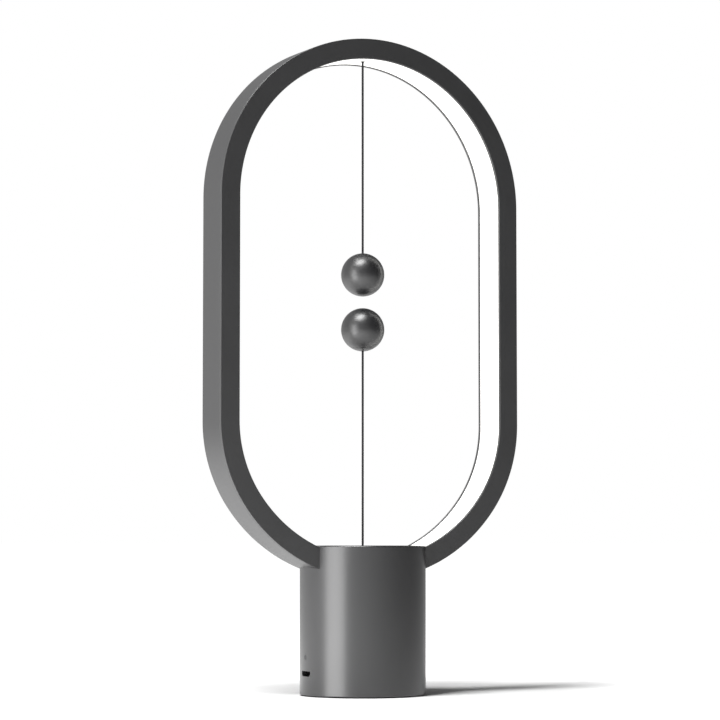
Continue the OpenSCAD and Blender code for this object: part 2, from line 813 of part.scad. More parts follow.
module foot_pad() {
    color([0.12, 0.12, 0.12]) cylinder(r = foot_radius, h = foot_thickness, $fn = 180);
}

module ballast_disc() {
    color([0.6, 0.6, 0.62]) translate([0, 0, cover_top]) difference() {
        cylinder(r = inner_radius - edge_gap, h = ballast_thickness, $fn = 180);
        translate([0, 0, -cut]) linear_extrude(ballast_thickness + 2 * cut) post_notches();
        at_board_screws(-cut)
            cylinder(r = standoff_radius + post_gap, h = ballast_thickness + 2 * cut, $fn = 48);
    }
}

// Electronics

// Places of the main board's three screws
module at_board_screws(level) {
    for (side = [-1, 1]) rotate(side * board_screw_angle) translate([board_screw_circle, 0, level])
        children();
    translate([-board_screw_rear, 0, level]) children();
}

module main_board() {
    color([0.1, 0.35, 0.2]) translate([0, 0, board_bottom]) difference() {
        cylinder(r = inner_radius - board_edge, h = board_thickness, $fn = 180);
        translate([0, 0, -cut]) linear_extrude(board_thickness + 2 * cut) post_notches();
        at_board_screws(-cut) cylinder(r = clear_radius, h = board_thickness + 2 * cut, $fn = 32);
    }
}

module board_screws() {
    color([0.7, 0.7, 0.72]) at_board_screws(board_top) mirror([0, 0, 1]) screw(board_screw_length);
}

module driver_chip() {
    color([0.08, 0.08, 0.09])
        translate([chip_at.x - chip_size.x / 2, chip_at.y - chip_size.y / 2, board_top])
        cube(chip_size);
}

module power_inductor() {
    color([0.2, 0.2, 0.22]) translate([coil_at.x, coil_at.y, board_top]) {
        translate([-coil_size.x / 2, -coil_size.y / 2, 0]) cube(coil_size);
        cylinder(r = coil_radius, h = coil_height, $fn = 48);
    }
}

module board_capacitors() {
    color([0.7, 0.55, 0.35]) for (side = [0, 1], i = [0, 1]) mirror([0, side, 0])
        translate([cradle_left - capacitor_gap, capacitor_first + i * capacitor_pitch, board_top])
            translate([-capacitor_size.x / 2, -capacitor_size.y / 2, 0]) cube(capacitor_size);
}

module usb_shell() {
    color([0.78, 0.78, 0.8]) left_side(usb_mouth - usb_length, usb_mouth)
        translate([0, usb_height]) difference() {
            port_outline(usb_width, usb_shell_height, port_corner);
            port_outline(usb_width - 2 * usb_wall, usb_shell_height - 2 * usb_wall, port_inner_corner);
        }
}

module usb_tongue() {
    back = usb_mouth - usb_length;
    color([0.1, 0.1, 0.1]) {
        left_side(back, back + tongue_short) translate([0, usb_height])
            port_outline(usb_width - 2 * usb_wall, usb_shell_height - 2 * usb_wall, port_inner_corner);
        left_side(back, usb_mouth - tongue_short) translate([-tongue_width / 2, usb_height])
            square([tongue_width, tongue_height]);
    }
}

module indicator_lens() {
    inside_wall = sqrt(base_inside * base_inside - lens_flange_radius * lens_flange_radius) - grip_gap;
    color([0.9, 0.9, 0.9]) {
        left_side(lens_end, base_radius - grip_gap) translate([0, indicator_height])
            circle(r = lens_radius, $fn = 32);
        left_side(inside_wall - lens_flange, inside_wall) translate([0, indicator_height])
            circle(r = lens_flange_radius, $fn = 32);
    }
}

module indicator_led() {
    body_end = lens_end - fit_gap;
    color([0.9, 0.95, 0.9]) left_side(body_end - indicator_led_length, body_end)
        translate([0, indicator_height])
        circle(r = indicator_led_radius, $fn = 32);
    color([0.8, 0.8, 0.8]) for (side = [-1, 1]) {
        rod([-lead_x, side * lead_spread, board_top],
            [-lead_x, side * lead_spread, indicator_height], lead_radius);
        translate([-lead_x, side * lead_spread, indicator_height]) sphere(r = lead_radius, $fn = 24);
        rod([-lead_x, side * lead_spread, indicator_height],
            [indicator_led_length - body_end - cut, side * lead_spread, indicator_height], lead_radius);
    }
}

module battery_cradle() {
    color([0.85, 0.85, 0.85]) difference() {
        translate([cell_shift - cradle_width / 2, -cradle_length / 2, board_top])
            cube([cradle_width, cradle_length, cradle_floor + cradle_rise]);
        translate([cell_shift, cradle_length, cell_level]) rotate([90, 0, 0])
            cylinder(r = cell_radius + fit_gap, h = 2 * cradle_length);
        translate([cell_shift - cradle_width, cradle_rib - cradle_length / 2, board_top + cradle_floor])
            cube([2 * cradle_width, cradle_length - 2 * cradle_rib, cradle_rise + cut]);
    }
}

module battery_cell() {
    color([0.15, 0.35, 0.6]) translate([cell_shift, 0, cell_level]) rotate([90, 0, 0]) {
        translate([0, 0, cell_nub - cell_length / 2])
            cylinder(r = cell_radius, h = cell_length - cell_nub);
        translate([0, 0, -cell_length / 2]) cylinder(r = cell_nub_radius, h = cell_length / 2);
    }
}

module battery_tabs() {
    color([0.8, 0.8, 0.78]) for (side = [0, 1]) mirror([0, side, 0])
        translate([cell_shift - tab_width / 2, cell_length / 2 + grip_gap, board_top])
            cube([tab_width, tab_thickness, cell_level + tab_rise - board_top]);
}

// Switch

module switch_case() {
    color([0.15, 0.15, 0.16]) difference() {
        union() {
            translate([switch_start, -switch_width / 2, switch_bottom])
                cube([switch_length, switch_width, switch_height]);
            for (side = [0, 1]) mirror([0, side, 0])
                translate([lever_reach - ear_length / 2, switch_width / 2 - ear_width, lever_level - ear_length / 2])
                    cube([ear_length, ear_width, switch_bottom - lever_level + ear_length]);
        }
        switch_bores(-switch_width, switch_width, clear_radius);
        translate([lever_reach, switch_width, lever_level]) rotate([90, 0, 0])
            cylinder(r = pin_radius + grip_gap, h = 2 * switch_width, $fn = 48);
        translate([button_x, 0, switch_bottom - cut])
            cylinder(r = button_radius + running_gap, h = button_length + button_top_space, $fn = 48);
    }
}

module switch_button() {
    tip = 2 * running_gap;
    bottom = lever_level + lever_thickness / 2 + tip;
    dome = button_radius / 3;
    color([0.85, 0.2, 0.15]) translate([button_x, 0, bottom]) {
        cylinder(r1 = button_radius - dome, r2 = button_radius, h = dome, $fn = 48);
        translate([0, 0, dome]) cylinder(r = button_radius, h = button_length - dome - tip, $fn = 48);
    }
}

module switch_lever() {
    color([0.75, 0.75, 0.77]) difference() {
        union() {
            translate([-lever_overhang, -lever_width / 2, lever_bottom])
                cube([lever_reach + lever_overhang, lever_width, lever_thickness]);
            translate([lever_reach, lever_width / 2, lever_level]) rotate([90, 0, 0])
                cylinder(r = knuckle_radius, h = lever_width, $fn = 48);
        }
        translate([lever_reach, lever_width, lever_level]) rotate([90, 0, 0])
            cylinder(r = pin_radius + running_gap, h = 2 * lever_width, $fn = 48);
        translate([0, 0, lever_bottom - cut])
            cylinder(r = lever_hole_radius, h = lever_thickness + 2 * cut, $fn = 48);
    }
}

module switch_lever_pin() {
    color([0.8, 0.8, 0.82]) translate([lever_reach, switch_width / 2, lever_level]) rotate([90, 0, 0])
        cylinder(r = pin_radius, h = switch_width, $fn = 48);
}

// Height of the middle of one of the switch's three blades
function terminal_level(i) = switch_bottom + terminal_first + i * terminal_pitch;

module switch_terminals() {
    color([0.85, 0.75, 0.45]) for (i = [0 : 2])
        translate([switch_end, -terminal_width / 2, terminal_level(i) - terminal_thickness / 2])
            cube([terminal_length, terminal_width, terminal_thickness]);
}

module switch_screws() {
    color([0.7, 0.7, 0.72]) at_switch_screws() translate([0, -switch_width / 2, 0]) rotate([-90, 0, 0])
        screw(switch_screw_length);
}

// Wires

module led_wires() {
    top = bend_level(led_wire_x - wire_radius, strip_inset);
    for (side = [-1, 1]) color(side < 0 ? [0.75, 0.1, 0.1] : [0.1, 0.1, 0.1])
        rod([-led_wire_x, side * led_wire_y, board_top],
            [-led_wire_x, side * led_wire_y, top], wire_radius);
}

module switch_wires() {
    for (side = [-1, 1]) color(side < 0 ? [0.9, 0.8, 0.2] : [0.9, 0.9, 0.9]) wire([
        [switch_wire_x, side * terminal_width / 2, terminal_level(1 + side)],
        [switch_wire_x, side * switch_wire_y, terminal_level(1 + side)],
        [switch_wire_x, side * switch_wire_y, board_top]
    ]);
}

frame_rear_shell();
frame_front_bezel();
diffuser();
led_strip();
leds();
cord_ferrule();
upper_cord_anchor();
upper_cord_bend();
upper_cord();
upper_ball_shell();
upper_ball_cap();
upper_ball_magnet();
lower_ball_shell();
lower_ball_cap();
lower_ball_magnet();
lower_cord();
lower_cord_bend();
pull_cord();
pull_cord_crimp();
base_shell();
base_top_cap();
cord_eyelet();
ring_saddle();
saddle_screws();
base_bottom_cover();
cover_screws();
foot_pad();
ballast_disc();
main_board();
board_screws();
driver_chip();
power_inductor();
board_capacitors();
usb_shell();
usb_tongue();
indicator_lens();
indicator_led();
battery_cradle();
battery_cell();
battery_tabs();
switch_case();
switch_button();
switch_lever();
switch_lever_pin();
switch_terminals();
switch_screws();
led_wires();
switch_wires();
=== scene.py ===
"""Magnetic balance lamp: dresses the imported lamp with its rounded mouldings, cords and finishes.

Laid out as an add-on: sizes and colours are properties of the scene, every group of pieces has its
operator, and the panel in the 3D view's sidebar lists them. Metres, with the lamp's foot at the origin,
+Z up and -Y to the front.
"""

import json
import math

import bmesh
import bpy
from bpy.props import FloatProperty, FloatVectorProperty, IntProperty, PointerProperty
from bpy.types import Operator, Panel, PropertyGroup
from mathutils import Matrix, Vector


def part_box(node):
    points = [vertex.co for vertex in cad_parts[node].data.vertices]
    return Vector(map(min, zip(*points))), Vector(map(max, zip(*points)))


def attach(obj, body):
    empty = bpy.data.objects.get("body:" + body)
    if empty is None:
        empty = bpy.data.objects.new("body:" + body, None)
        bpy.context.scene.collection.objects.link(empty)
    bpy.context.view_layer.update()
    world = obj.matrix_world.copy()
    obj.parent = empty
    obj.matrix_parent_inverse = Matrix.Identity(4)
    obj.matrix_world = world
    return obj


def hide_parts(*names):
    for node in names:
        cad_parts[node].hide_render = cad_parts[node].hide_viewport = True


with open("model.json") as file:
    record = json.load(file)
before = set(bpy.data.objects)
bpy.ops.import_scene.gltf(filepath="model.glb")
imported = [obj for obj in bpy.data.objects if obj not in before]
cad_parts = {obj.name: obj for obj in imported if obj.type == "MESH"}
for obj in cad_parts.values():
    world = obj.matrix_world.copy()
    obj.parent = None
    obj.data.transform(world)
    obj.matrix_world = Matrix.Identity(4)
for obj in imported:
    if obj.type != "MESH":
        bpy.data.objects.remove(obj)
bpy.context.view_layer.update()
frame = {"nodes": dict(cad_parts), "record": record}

bl_info = {
    "name": "Magnetic Balance Lamp",
    "version": (1, 0, 0),
    "blender": (4, 5, 0),
    "location": "View3D > Sidebar > Lamp",
    "description": "Ring, base, balls and cords of a lamp that a pair of magnets switches on",
    "category": "Add Mesh",
}

SMOOTH_ANGLE = math.radians(35)
FOOT_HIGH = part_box("foot_pad")[1]
SHELL_LOW, SHELL_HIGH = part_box("frame_rear_shell")
TUBE_LOW, TUBE_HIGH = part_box("base_shell")
BALL_LOW, BALL_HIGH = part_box("upper_ball_shell")
LOWER_BALL_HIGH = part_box("lower_ball_shell")[1]


def length(name, description, default):
    return FloatProperty(name=name, description=description, default=default, unit="LENGTH", precision=5)


def tint(name, description, default):
    return FloatVectorProperty(name=name, description=description, default=default, size=4, min=0, max=1,
                               subtype="COLOR")


class LampRingSizes(PropertyGroup):
    half_width: length("Half width", "Half the width of the ring", SHELL_HIGH.x)
    top: length("Top", "Height of the ring's top above the table", SHELL_HIGH.z)
    low: length("Lowest point", "Height of the ring's lowest point above the table", SHELL_LOW.z)
    half_depth: length("Half depth", "Half the depth of the ring", SHELL_HIGH.y)
    band: length("Band", "Width of the ring's face, seen from the front", 0.0074)
    flattening: length("Flattening", "How much shallower than a half circle the lower bend is", 0.003)
    side_step: length("Side step", "How much smaller than half the width the bend's side radius is", 0.006)
    outer_wall: length("Outer wall", "Wall round the outside of the ring", 0.0016)
    face_wall: length("Face wall", "Wall of the ring's front and back", 0.0012)
    ledge: length("Ledge", "Thickness of the rib and of the ledge inside the ring", 0.001)
    ledge_depth: length("Ledge depth", "Depth of the rib and of the ledge inside the ring", 0.0015)
    fit: length("Fit", "Gap between the ring's mouldings", 0.0001)
    recess: length("Recess", "How far the diffuser lies behind the lips of the ring", 0.0003)
    diffuser_wall: length("Diffuser wall", "Wall of the opal diffuser", 0.0012)
    diffuser_leg: length("Diffuser leg", "Thickness of the diffuser's legs", 0.001)
    outer_edge: length("Outer edge", "Rounding of the ring's outer edges", 0.00016)
    lip_edge: length("Lip edge", "Rounding of the edges beside the diffuser", 0.00035)
    seam_edge: length("Seam edge", "Rounding of the two mouldings where they meet", 0.00012)
    step: length("Step", "Length of one step along the ring's bends", 0.0018)


class LampBaseSizes(PropertyGroup):
    radius: length("Radius", "Radius of the base", TUBE_HIGH.x)
    top: length("Top", "Height of the base's rim above the table", TUBE_HIGH.z)
    low: length("Low edge", "Height of the tube's lower edge above the table", TUBE_LOW.z)
    wall: length("Wall", "Wall of the base tube", 0.0018)
    top_edge: length("Top edge", "Rounding of the base's rim", 0.0006)
    low_edge: length("Low edge rounding", "Rounding of the base's lower edge", 0.0003)
    notch_edge: length("Notch edge", "Rounding of the notches and of the socket's mouth", 0.00004)
    notch_fit: length("Notch fit", "Gap between the notches and the ring", 0.00002)
    post_radius: length("Post radius", "Radius of the screw posts in the tube", 0.0024)
    post_margin: length("Post margin", "Distance of the screw posts from the inside of the tube", 0.0034)
    post_height: length("Post height", "Height of the screw posts in the tube", 0.009)
    cover: length("Cover", "Thickness of the bottom cover that the posts stand on", 0.0026)
    port_width: length("Mouth width", "Width of the socket's mouth", 0.0069)
    port_height: length("Mouth height", "Height of the socket's mouth", 0.0019)
    port_corner: length("Mouth corner", "Cut of the mouth's two lower corners", 0.00075)
    port_level: length("Mouth level", "Height of the socket's middle above the table", 0.0082)
    window_radius: length("Window radius", "Radius of the indicator light's hole", 0.0009)
    window_level: length("Window level", "Height of the indicator light above the table", 0.0141)
    foot_groove: length("Foot groove", "Depth of the rings in the rubber foot", 0.0002)
    segments: IntProperty(name="Segments", description="Segments round the base", default=240, min=24)


class LampBallSizes(PropertyGroup):
    radius: length("Ball radius", "Radius of a ball", (BALL_HIGH.x - BALL_LOW.x) / 2)
    plug_radius: length("Plug radius", "Radius of the plug on a ball's cord side", 0.004)
    plug_seat: length("Plug seat", "Distance from a ball's middle to the inner face of its plug", 0.0034)
    magnet_cover: length("Magnet cover", "Thickness of a ball over its magnet", 0.00175)
    seam: length("Seam", "Gap round a ball's plug", 0.00005)
    seam_edge: length("Seam edge", "Rounding of the two edges at a ball's seam", 0.00012)
    cord_radius: length("Cord radius", "Radius of the cords", 0.00042)
    strand_depth: FloatProperty(name="Strand depth", default=0.1, min=0, max=0.5, subtype="FACTOR",
                                description="Depth of the hollows between strands, as a share of the cord's radius")
    lay_length: length("Lay", "Length of one turn of a cord's strands", 0.0026)
    knot_radius: length("Knot radius", "Radius of the knot at a cord's end", 0.0009)


class LampColours(PropertyGroup):
    ring: tint("Ring", "Graphite moulding of the ring", (0.0255, 0.0255, 0.0264, 1))
    base: tint("Base", "Graphite moulding of the base", (0.024, 0.024, 0.0252, 1))
    ball: tint("Balls", "Graphite moulding of the balls", (0.0175, 0.0175, 0.0186, 1))
    glow: tint("Glow", "Light of the diffuser", (1.0, 0.985, 0.955, 1))
    cord: tint("Cords", "Fibre of the cords", (0.022, 0.022, 0.0235, 1))
    rubber: tint("Foot", "Rubber of the foot", (0.03, 0.03, 0.031, 1))
    steel: tint("Steel", "Screws, ballast and eyelet", (0.55, 0.55, 0.57, 1))
    floor: tint("Floor", "Floor under the lamp", (0.8, 0.8, 0.8, 1))


class LampStudio(PropertyGroup):
    camera: FloatVectorProperty(name="Camera", description="Place of the camera", size=3, subtype="TRANSLATION",
                                default=(-0.443494, -0.916381, 0.056244), precision=6)
    turn: FloatProperty(name="Turn", description="Turn of the camera from straight to the back towards the right",
                        default=0.44976, subtype="ANGLE")
    rise: FloatProperty(name="Rise", description="Rise of the camera's view above the level", default=0.06486,
                        subtype="ANGLE")
    lens: FloatProperty(name="Lens", description="Focal length of the camera", default=138.922, unit="CAMERA")
    floor_reach: length("Floor reach", "Distance from the lamp to the floor's edge", 40.0)
    shadow_reach: length("Shadow reach", "Distance from the lamp up to which the shadow is whole", 0.07)
    room: FloatProperty(name="Room", description="Strength of the light that comes from all round", default=0.12,
                        min=0)


# Making meshes


def settings(group):
    """One of the lamp's property groups on the scene."""
    return getattr(bpy.context.scene, group)


def piece_from_mesh(name, mesh):
    piece = bpy.data.objects.new(name, mesh)
    bpy.context.scene.collection.objects.link(piece)
    return piece


def tidy_mesh(mesh, merge=1e-6, dissolve=0.0):
    """Merges doubles, takes out what is shorter than dissolve, and points the faces outwards."""
    work = bmesh.new()
    work.from_mesh(mesh)
    bmesh.ops.remove_doubles(work, verts=work.verts, dist=merge)
    if dissolve:
        bmesh.ops.dissolve_degenerate(work, edges=work.edges, dist=dissolve)
    bmesh.ops.recalc_face_normals(work, faces=work.faces)
    work.to_mesh(mesh)
    work.free()


def shade(piece, sharp=SMOOTH_ANGLE):
    """Smooth faces, with edges sharper than an angle kept, and normals weighted by the large faces."""
    for face in piece.data.polygons:
        face.use_smooth = True
    piece.data.set_sharp_from_angle(angle=sharp)
    piece.modifiers.new("Weighted Normal", "WEIGHTED_NORMAL").keep_sharp = True


def rounded(corners, steps=4):
    """A closed outline with its corners rounded: each corner is (across, along, radius)."""
    outline = []
    count = len(corners)
    for i in range(count):
        at = Vector(corners[i][:2])
        before = Vector(corners[i - 1][:2]) - at
        after = Vector(corners[(i + 1) % count][:2]) - at
        radius = corners[i][2]
        if radius <= 0:
            outline.append(at)
            continue
        half = before.angle(after) / 2
        reach = radius / math.tan(half)
        if reach > min(before.length, after.length):
            raise RuntimeError("the rounding of a corner is longer than its side")
        middle = at + (before.normalized() + after.normalized()).normalized() * (radius / math.sin(half))
        start = at + before.normalized() * reach - middle
        end = at + after.normalized() * reach - middle
        turn = start.angle_signed(end)
        for k in range(steps + 1):
            outline.append(middle + Matrix.Rotation(-turn * k / steps, 2) @ start)
    return outline


def area_of(outline):
    """The area inside an outline, above 0 where it runs anticlockwise."""
    return sum(a.x * b.y - b.x * a.y for a, b in zip(outline, outline[1:] + outline[:1])) / 2


def edge_loop(name, points):
    """A closed loop of edges as an object."""
    mesh = bpy.data.meshes.new(name)
    count = len(points)
    mesh.from_pydata([tuple(p) for p in points], [(i, (i + 1) % count) for i in range(count)], [])
    return piece_from_mesh(name, mesh)


def lathe(name, outline, segments, centre=0.0, flip=False):
    """A closed section of (radius, height) points turned about the upright axis."""
    sign = -1 if flip else 1
    count = len(outline)
    verts, faces = [], []
    for j in range(segments):
        angle = 2 * math.pi * j / segments
        for radius, height in outline:
            verts.append((radius * math.cos(angle), radius * math.sin(angle), centre + sign * height))
    for j in range(segments):
        for i in range(count):
            a, b = j * count + i, j * count + (i + 1) % count
            c, d = (j + 1) % segments * count + (i + 1) % count, (j + 1) % segments * count + i
            faces.append((a, b, c, d))
    mesh = bpy.data.meshes.new(name)
    mesh.from_pydata(verts, [], faces)
    tidy_mesh(mesh, merge=1e-7, dissolve=1e-8)
    return piece_from_mesh(name, mesh)


def prism(name, outline, place):
    """A closed outline made solid: place turns an outline point and 0 or 1 into a point in space."""
    count = len(outline)
    verts = [place(p, 0) for p in outline] + [place(p, 1) for p in outline]
    faces = [tuple(range(count)), tuple(range(2 * count - 1, count - 1, -1))]
    faces += [(i, (i + 1) % count, count + (i + 1) % count, count + i) for i in range(count)]
    mesh = bpy.data.meshes.new(name)
    mesh.from_pydata(verts, [], faces)
    tidy_mesh(mesh)
    return piece_from_mesh(name, mesh)


def round_bar(name, radius, start, end, segments=48):
    """A closed round bar between two points, as a tool for cutting or joining."""
    axis = Vector(end) - Vector(start)
    turn = axis.to_track_quat("Z", "Y").to_matrix()
    angles = [2 * math.pi * i / segments for i in range(segments)]
    circle = [Vector((radius * math.cos(angle), radius * math.sin(angle), 0)) for angle in angles]
    return prism(name, circle, lambda p, side: Vector(start) + turn @ p + axis * side)


def combine(piece, tools, operation):
    """Cuts tools out of a piece or joins them to it, for good."""
    for tool in tools:
        step = piece.modifiers.new("Cut", "BOOLEAN")
        step.operation, step.solver, step.object = operation, "EXACT", tool
    apply_modifiers(piece)
    for tool in tools:
        bpy.data.objects.remove(tool, do_unlink=True)


def apply_modifiers(piece):
    """Makes what the modifiers show the piece's own mesh, and takes them off."""
    bpy.context.view_layer.update()
    graph = bpy.context.evaluated_depsgraph_get()
    mesh = bpy.data.meshes.new_from_object(piece.evaluated_get(graph), preserve_all_data_layers=True,
                                           depsgraph=graph)
    old = piece.data
    mesh.name = piece.name
    piece.modifiers.clear()
    piece.data = mesh
    bpy.data.meshes.remove(old)
    if not len(mesh.polygons):
        raise RuntimeError(piece.name + ": nothing is left of the mesh")


def stand_for(piece, body, node):
    """A finished piece rides on its body and takes the place of its CAD node."""
    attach(piece, body)
    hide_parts(node)


# Outline of the ring


def ring_outline(sizes, offset=0.0):
    """The ring's outline, moved outwards by an offset.

    A half circle above, straight sides, and a bend of three arcs below.
    """
    half = sizes.half_width
    upper = sizes.top - half
    side_radius = half - sizes.side_step
    drop = half - sizes.flattening
    bend_radius = half + sizes.flattening ** 2 / (2 * (sizes.side_step - sizes.flattening))
    side_level = sizes.low + drop
    bend_level = sizes.low + bend_radius
    bend_angle = math.atan2(bend_radius - drop, sizes.side_step)
    points = []

    def arc(x, z, radius, start, end):
        count = max(2, round(abs(end - start) * radius / sizes.step))
        for i in range(count):
            angle = start + (end - start) * i / count
            points.append(Vector((x + (radius + offset) * math.cos(angle), z + (radius + offset) * math.sin(angle))))

    def straight(x, start, end):
        count = 8
        for i in range(count):
            points.append(Vector((x, start + (end - start) * i / count)))

    arc(0, upper, half, 0, math.pi)
    straight(-half - offset, upper, side_level)
    arc(-sizes.side_step, side_level, side_radius, math.pi, math.pi + bend_angle)
    arc(0, bend_level, bend_radius, math.pi + bend_angle, 2 * math.pi - bend_angle)
    arc(sizes.side_step, side_level, side_radius, 2 * math.pi - bend_angle, 2 * math.pi)
    straight(half + offset, side_level, upper)
    return points


def shell_section(s):
    """Rear moulding: outer wall, back wall and the ledge that the diffuser stands on. Inset and depth."""
    back, inner = s.half_depth, s.half_depth - s.face_wall
    ledge = s.outer_wall + s.ledge
    return rounded([
        (0, -inner, s.seam_edge), (s.outer_wall, -inner, s.seam_edge), (s.outer_wall, inner - s.ledge_depth, 0),
        (ledge, inner - s.ledge_depth, s.seam_edge), (ledge, inner, 0), (s.band, inner, s.lip_edge),
        (s.band, back, s.lip_edge), (0, back, s.outer_edge),
    ])


def bezel_section(s):
    """Front moulding: a plate with the rib that finds its place inside the outer wall."""
    face, inner = -s.half_depth, s.face_wall - s.half_depth
    rib = s.outer_wall + s.fit
    return rounded([
        (0, face, s.outer_edge), (s.band, face, s.lip_edge), (s.band, inner, s.lip_edge),
        (rib + s.ledge, inner, 0), (rib + s.ledge, inner + s.ledge_depth, s.seam_edge),
        (rib, inner + s.ledge_depth, s.seam_edge), (rib, inner, 0), (0, inner, s.seam_edge),
    ])


def diffuser_section(s):
    """Opal band between the mouldings' lips, with two legs to the ledge and the rib."""
    side = s.half_depth - s.face_wall - s.fit / 2
    face = s.band - s.recess
    back = face - s.diffuser_wall
    leg = s.outer_wall + s.ledge + 2 * s.fit
    inner = side - s.diffuser_leg
    return rounded([
        (face, -side, s.seam_edge), (face, side, s.seam_edge), (leg, side, s.seam_edge), (leg, inner, s.seam_edge),
        (back, inner, s.lip_edge), (back, -inner, s.lip_edge), (leg, -inner, s.seam_edge),
        (leg, -side, s.seam_edge),
    ])


# Node trees


def feed(tree, socket, value):
    """Gives an input its value, or links another node's socket to it."""
    if isinstance(value, bpy.types.NodeSocket):
        tree.links.new(value, socket)
    else:
        socket.default_value = value


def add_node(tree, kind, inputs=None, **values):
    """A node with its settings. Its inputs, by name or place, each get a value or another node's socket."""
    node = tree.nodes.new(kind)
    for key, value in values.items():
        setattr(node, key, value)
    for key, value in (inputs or {}).items():
        feed(tree, node.inputs[key], value)
    return node


def calc(tree, operation, *values):
    """The result of a Math node on numbers and sockets."""
    return add_node(tree, "ShaderNodeMath", dict(enumerate(values)), operation=operation).outputs[0]


def new_group(name, kind, inputs, outputs):
    """A node group with named inputs (label, kind, default) and outputs (label, kind).

    Returns the group, the sockets that its inputs arrive at and the sockets that its outputs go into.
    """
    group = bpy.data.node_groups.new(name, kind)
    for label, socket_kind, default in inputs:
        socket = group.interface.new_socket(label, in_out="INPUT", socket_type="NodeSocket" + socket_kind)
        if default is not None:
            socket.default_value = default
    for label, socket_kind in outputs:
        group.interface.new_socket(label, in_out="OUTPUT", socket_type="NodeSocket" + socket_kind)
    return group, group.nodes.new("NodeGroupInput").outputs, group.nodes.new("NodeGroupOutput").inputs


def group_named(name, make):
    """The node group of a name, made once."""
    return bpy.data.node_groups.get(name) or make(name)


def new_shape_tree(name, inputs):
    """A Geometry Nodes tree from a geometry to a geometry, with its own inputs and a finish."""
    return new_group(name, "GeometryNodeTree", [("Geometry", "Geometry", None)] + inputs
                     + [("Finish", "Material", None)], [("Geometry", "Geometry")])


def end_shape_tree(tree, given, result, shape):
    """Ends a tree with real geometry in its finish."""
    whole = add_node(tree, "GeometryNodeRealizeInstances", {0: shape.outputs[0]})
    finished = add_node(tree, "GeometryNodeSetMaterial", {"Geometry": whole.outputs[0], "Material": given["Finish"]})
    feed(tree, result[0], finished.outputs[0])
    return tree


def ring_sweep_tree(name):
    """Carries a section round a flat outline, upright to the outline's plane, and stands the result up."""
    tree, given, result = new_shape_tree(name, [
        ("Section", "Object", None),
        ("Stand Up", "Float", math.pi / 2),
        ("Merge Distance", "Float", 1e-6),
    ])
    section = add_node(tree, "GeometryNodeObjectInfo", {"Object": given["Section"]})
    loop = add_node(tree, "GeometryNodeMeshToCurve", {0: section.outputs["Geometry"]})
    path = add_node(tree, "GeometryNodeMeshToCurve", {0: given["Geometry"]})
    upright = add_node(tree, "GeometryNodeSetCurveNormal", {0: path.outputs[0]}, mode="Z_UP")
    sweep = add_node(tree, "GeometryNodeCurveToMesh", {
        "Curve": upright.outputs[0], "Profile Curve": loop.outputs[0]})
    angles = add_node(tree, "ShaderNodeCombineXYZ", {"X": given["Stand Up"]})
    stood = add_node(tree, "GeometryNodeTransform", {"Geometry": sweep.outputs[0], "Rotation": angles.outputs[0]})
    merged = add_node(tree, "GeometryNodeMergeByDistance", {
        "Geometry": stood.outputs[0], "Distance": given["Merge Distance"]})
    return end_shape_tree(tree, given, result, merged)


def laid_cord_tree(name):
    """Lays strands round a line: a lobed section that turns as it goes along."""
    tree, given, result = new_shape_tree(name, [
        ("Radius", "Float", 0.0004),
        ("Strand Depth", "Float", 0.16),
        ("Strands", "Int", 3),
        ("Lay", "Float", 0.0026),
        ("Round Steps", "Int", 18),
        ("Along Step", "Float", 0.00022),
    ])
    path = add_node(tree, "GeometryNodeMeshToCurve", {0: given["Geometry"]})
    steps = add_node(tree, "GeometryNodeResampleCurve", {
        "Curve": path.outputs[0], "Length": given["Along Step"]}, mode="LENGTH")
    along = add_node(tree, "GeometryNodeSplineParameter")
    turns = calc(tree, "DIVIDE", along.outputs["Length"], given["Lay"])
    tilt = add_node(tree, "GeometryNodeSetCurveTilt", {
        "Curve": steps.outputs[0], "Tilt": calc(tree, "MULTIPLY", turns, 2 * math.pi)})
    circle = add_node(tree, "GeometryNodeCurvePrimitiveCircle", {
        "Resolution": given["Round Steps"], "Radius": given["Radius"]})
    index = add_node(tree, "GeometryNodeInputIndex")
    angle = calc(tree, "MULTIPLY", calc(tree, "DIVIDE", index.outputs[0], given["Round Steps"]), 2 * math.pi)
    lobe = calc(tree, "MULTIPLY", calc(tree, "MULTIPLY", angle, 0.5), given["Strands"])
    wave = calc(tree, "ABSOLUTE", calc(tree, "SINE", lobe))
    depth = calc(tree, "MULTIPLY", calc(tree, "SUBTRACT", 1.0, wave), given["Strand Depth"])
    place = add_node(tree, "GeometryNodeInputPosition")
    scaled = add_node(tree, "ShaderNodeVectorMath", {
        0: place.outputs[0], "Scale": calc(tree, "SUBTRACT", 1.0, depth)}, operation="SCALE")
    lobes = add_node(tree, "GeometryNodeSetPosition", {"Geometry": circle.outputs[0], "Position": scaled.outputs[0]})
    sweep = add_node(tree, "GeometryNodeCurveToMesh", {
        "Curve": tilt.outputs[0], "Profile Curve": lobes.outputs[0], "Fill Caps": True})
    smooth = add_node(tree, "GeometryNodeSetShadeSmooth", {"Geometry": sweep.outputs[0]})
    return end_shape_tree(tree, given, result, smooth)


def grow(piece, name, make, values):
    """Runs a tree on a piece's mesh with its inputs set, and keeps the result as the piece's own mesh."""
    tree = group_named(name, make)
    names = {item.name: item.identifier for item in tree.interface.items_tree
             if item.item_type == "SOCKET" and item.in_out == "INPUT"}
    step = piece.modifiers.new(name, "NODES")
    step.node_group = tree
    for label, value in values.items():
        step[names[label]] = value
    apply_modifiers(piece)


# Finishes

BUMP_DEPTH = 0.00004
# Most of a noise's values lie between these two
NOISE_LOW, NOISE_HIGH = 0.3, 0.7


def noise(tree, vector, scale, detail=2.0, roughness=0.5):
    return add_node(tree, "ShaderNodeTexNoise", {
        "Vector": vector, "Scale": scale, "Detail": detail, "Roughness": roughness}).outputs["Fac"]


